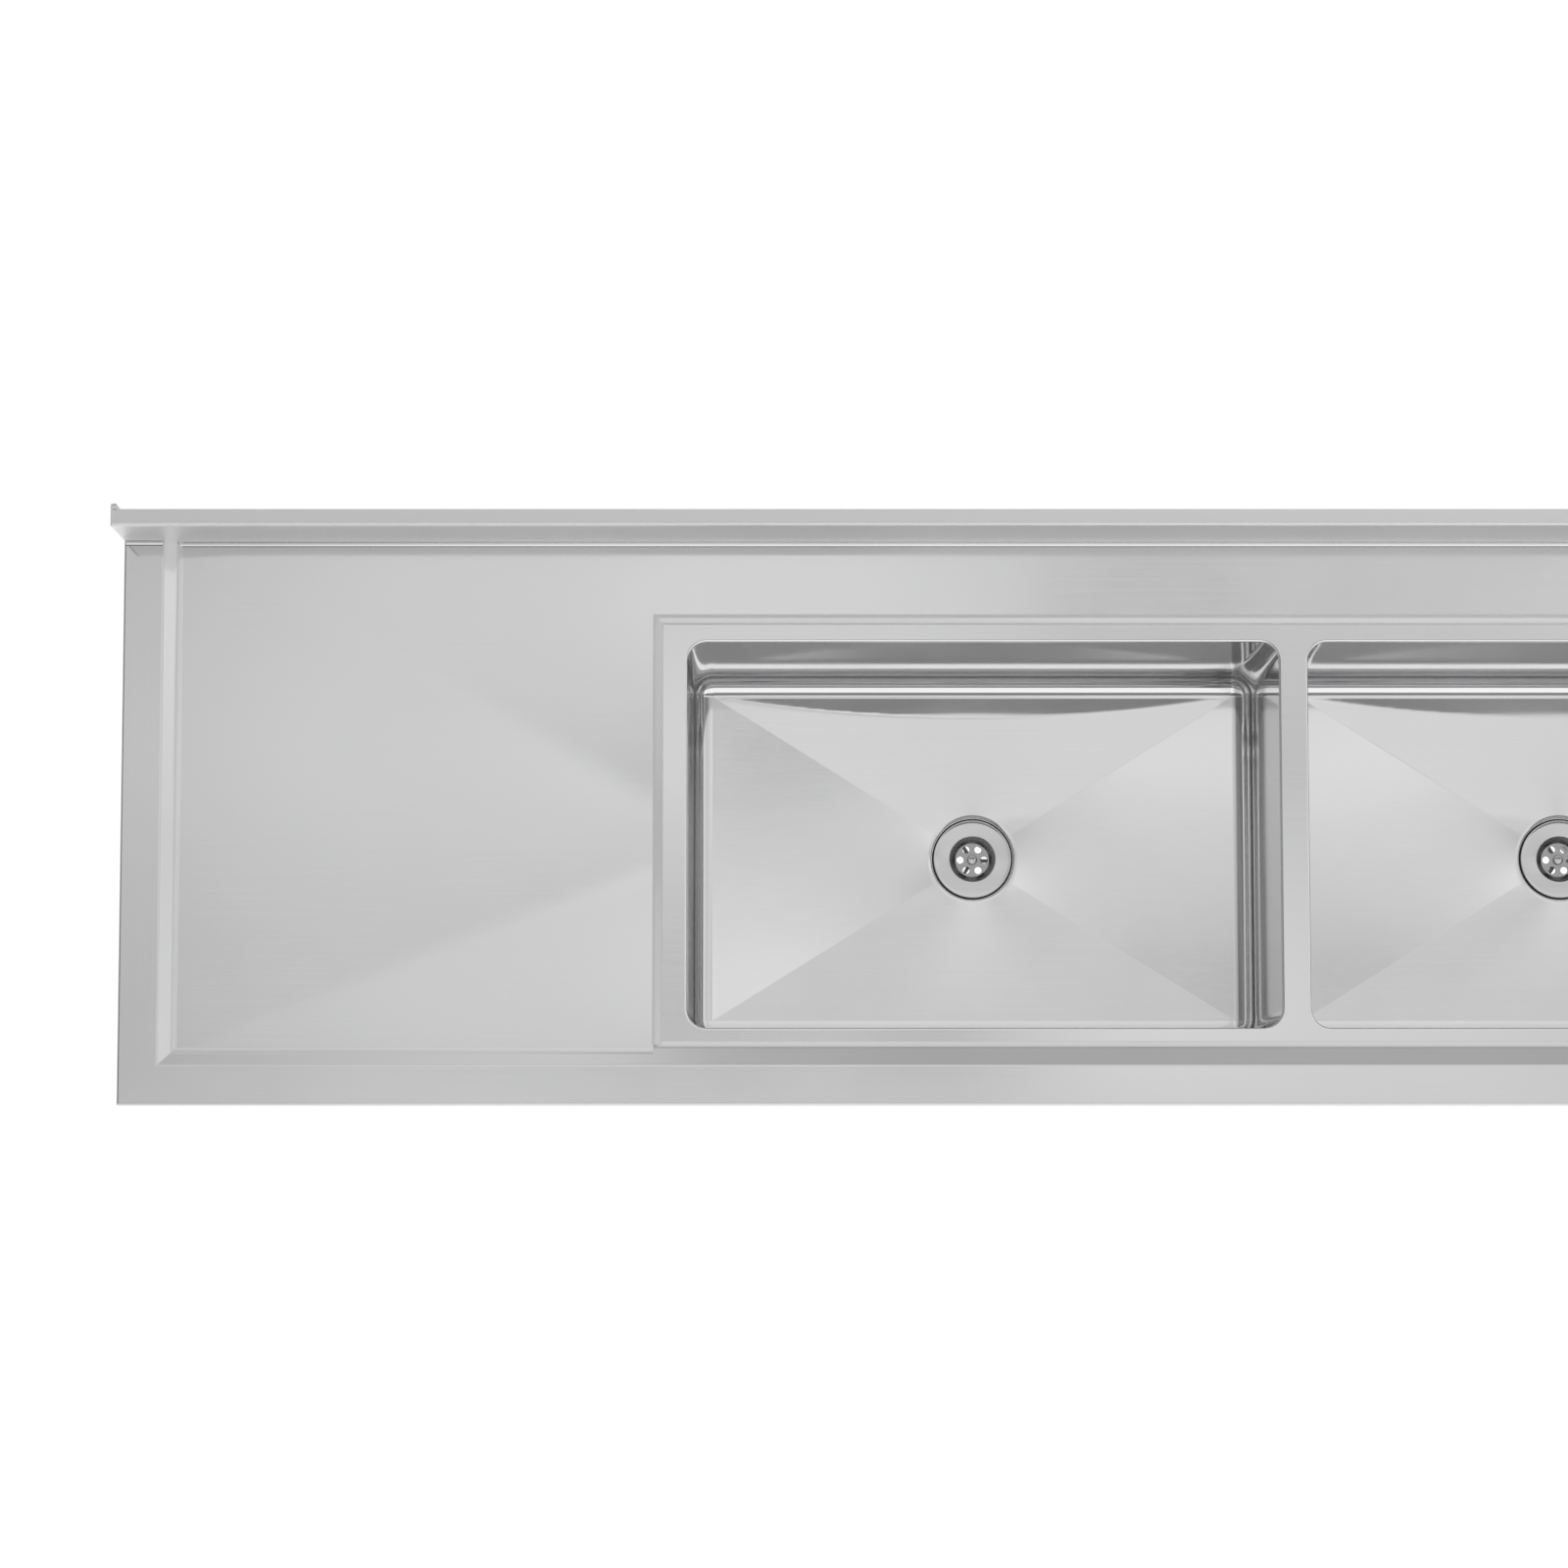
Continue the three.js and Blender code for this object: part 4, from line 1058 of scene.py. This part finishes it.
def add_rail(name, a, b, material):
    """A rail between two legs, its ends shaped to the legs' curve, with a weld bead at each end."""
    low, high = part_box(name)
    radius = (high.z - low.z) / 2
    height = (low.z + high.z) / 2
    leg_low, leg_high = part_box("leg_front_left")
    leg_radius = (leg_high.x - leg_low.x) / 2
    along = (b - a).normalized()
    across = Vector((-along.y, along.x, 0))
    sides, sunk = 48, 0.1 * MM
    bead, bead_sides = 1.3 * MM, 8

    def ring(r, origin, direction, depth):
        """A ring of the rail where it meets a leg, a small depth inside the leg's surface."""
        points = []
        for k in range(sides):
            t = 2 * math.pi * k / sides
            offset = r * math.cos(t)
            reach = math.sqrt(leg_radius**2 - offset**2) - depth
            points.append(
                origin + direction * reach + across * offset + Vector((0, 0, height + r * math.sin(t)))
            )
        return points

    inside = radius - TUBE_WALL
    outer = [ring(radius, a, along, sunk), ring(radius, b, -along, sunk)]
    inner = [ring(inside, b, -along, sunk), ring(inside, a, along, sunk)]
    tube = loft(outer + inner, closed=True)
    piece(f"{name}_tube", *tube, material, "leg_steel", replaces=[name])
    for tag, origin, direction in (("a", a, along), ("b", b, -along)):
        line = ring(radius + 0.2 * MM, origin, direction, -0.5 * MM)
        piece(f"{name}_weld_{tag}", *hoop(line, bead, bead_sides), "weld", "leg_steel")


def add_understructure():
    """Channels, six legs, and rails between the legs at the sides and the rear."""
    add_channels()
    centre = {}
    for side in SIDES:
        for row in ROWS:
            centre[row, side] = add_leg(row, side)
    for side in SIDES:
        add_rail(f"side_rail_{side}", centre["front", side], centre["rear", side], "rail_y")
    for first, second in zip(SIDES, SIDES[1:]):
        add_rail(f"rear_rail_{first}", centre["rear", first], centre["rear", second], "rail_x")


# ---------- floor and light ----------
def add_stage():
    """A white floor, low enough for the feet when they are screwed right out."""
    half = 60.0
    low = -frame["record"]["behaviour"]["joints"][0]["range_m"][1] - 0.5 * MM
    mesh = bpy.data.meshes.new("floor")
    corners = [(-half, -half, low), (half, -half, low), (half, half, low), (-half, half, low)]
    mesh.from_pydata(corners, [], [(0, 1, 2, 3)])
    floor = bpy.data.objects.new("floor", mesh)
    bpy.context.scene.collection.objects.link(floor)
    grey = FLOOR_WHITE["albedo"]
    inputs = {"Roughness": 0.9, "Base Color": (grey, grey, grey, 1)}
    inputs.update({"Emission Color": (1, 1, 1, 1), "Emission Strength": FLOOR_WHITE["glow"]})
    mesh.materials.append(new_material("floor_white", inputs)[0])


def graded(nodes, value, points):
    """A value from a table of (input, output) pairs, eased between them."""
    least, most = -2, 2  # of the outputs; a colour ramp only holds 0 to 1
    low, high = points[0][0], points[-1][0]
    links = value.node.id_data.links
    span = nodes.new("ShaderNodeMapRange")
    span.inputs["From Min"].default_value, span.inputs["From Max"].default_value = low, high
    links.new(value, span.inputs["Value"])
    ramp = nodes.new("ShaderNodeValToRGB")
    ramp.color_ramp.interpolation = "EASE"
    elements = ramp.color_ramp.elements
    while len(elements) < len(points):
        elements.new(0.5)
    for element, (at, out) in zip(elements, points):
        element.position = (at - low) / (high - low)
        grey = (out - least) / (most - least)
        element.color = (grey, grey, grey, 1)
    links.new(span.outputs["Result"], ramp.inputs["Fac"])
    result = nodes.new("ShaderNodeMapRange")
    result.inputs["To Min"].default_value, result.inputs["To Max"].default_value = least, most
    links.new(ramp.outputs["Color"], result.inputs["Value"])
    return result.outputs["Result"]


def add_light():
    """Soft studio light from all round, brighter or dimmer by direction, and white at the horizon."""
    world = bpy.data.worlds.new("studio")
    bpy.context.scene.world = world
    world.use_nodes = True
    nodes, links = world.node_tree.nodes, world.node_tree.links
    background = nodes["Background"]
    background.inputs["Color"].default_value = (1, 1, 1, 1)
    place = nodes.new("ShaderNodeTexCoord")
    split = nodes.new("ShaderNodeSeparateXYZ")
    links.new(place.outputs["Generated"], split.inputs["Vector"])
    height = math_node(nodes, "MAXIMUM", split.outputs["Z"], LOWEST_LIFT)
    across = math_node(nodes, "DIVIDE", split.outputs["X"], height)
    along = math_node(nodes, "DIVIDE", split.outputs["Y"], height)
    glow = math_node(nodes, "ADD", graded(nodes, along, DEPTH_GLOW), graded(nodes, across, SIDE_GLOW))
    for table_across, table_along, strength in (
        (BOX_ACROSS, BOX_ALONG, BOX_STRENGTH),
        (DOOR_ACROSS, DOOR_ALONG, DOOR_STRENGTH),
    ):
        patch = math_node(
            nodes, "MULTIPLY", graded(nodes, across, table_across), graded(nodes, along, table_along)
        )
        glow = math_node(nodes, "ADD", glow, math_node(nodes, "MULTIPLY", patch, strength))
    glow = math_node(nodes, "MAXIMUM", glow, DIMMEST)
    wall = nodes.new("ShaderNodeMapRange")
    wall.inputs["From Min"].default_value, wall.inputs["From Max"].default_value = WALL_FADE
    wall.inputs["To Min"].default_value = 1.0
    links.new(split.outputs["Z"], wall.inputs["Value"])
    links.new(glow, wall.inputs["To Max"])
    links.new(wall.outputs["Result"], background.inputs["Strength"])


add_camera()
add_edges()
add_fillets()
add_splash()
add_deck()
add_bowls()
for side in SIDES:
    add_waste(side)
add_understructure()
add_stage()
add_light()
bpy.context.scene.view_settings.view_transform = "Standard"
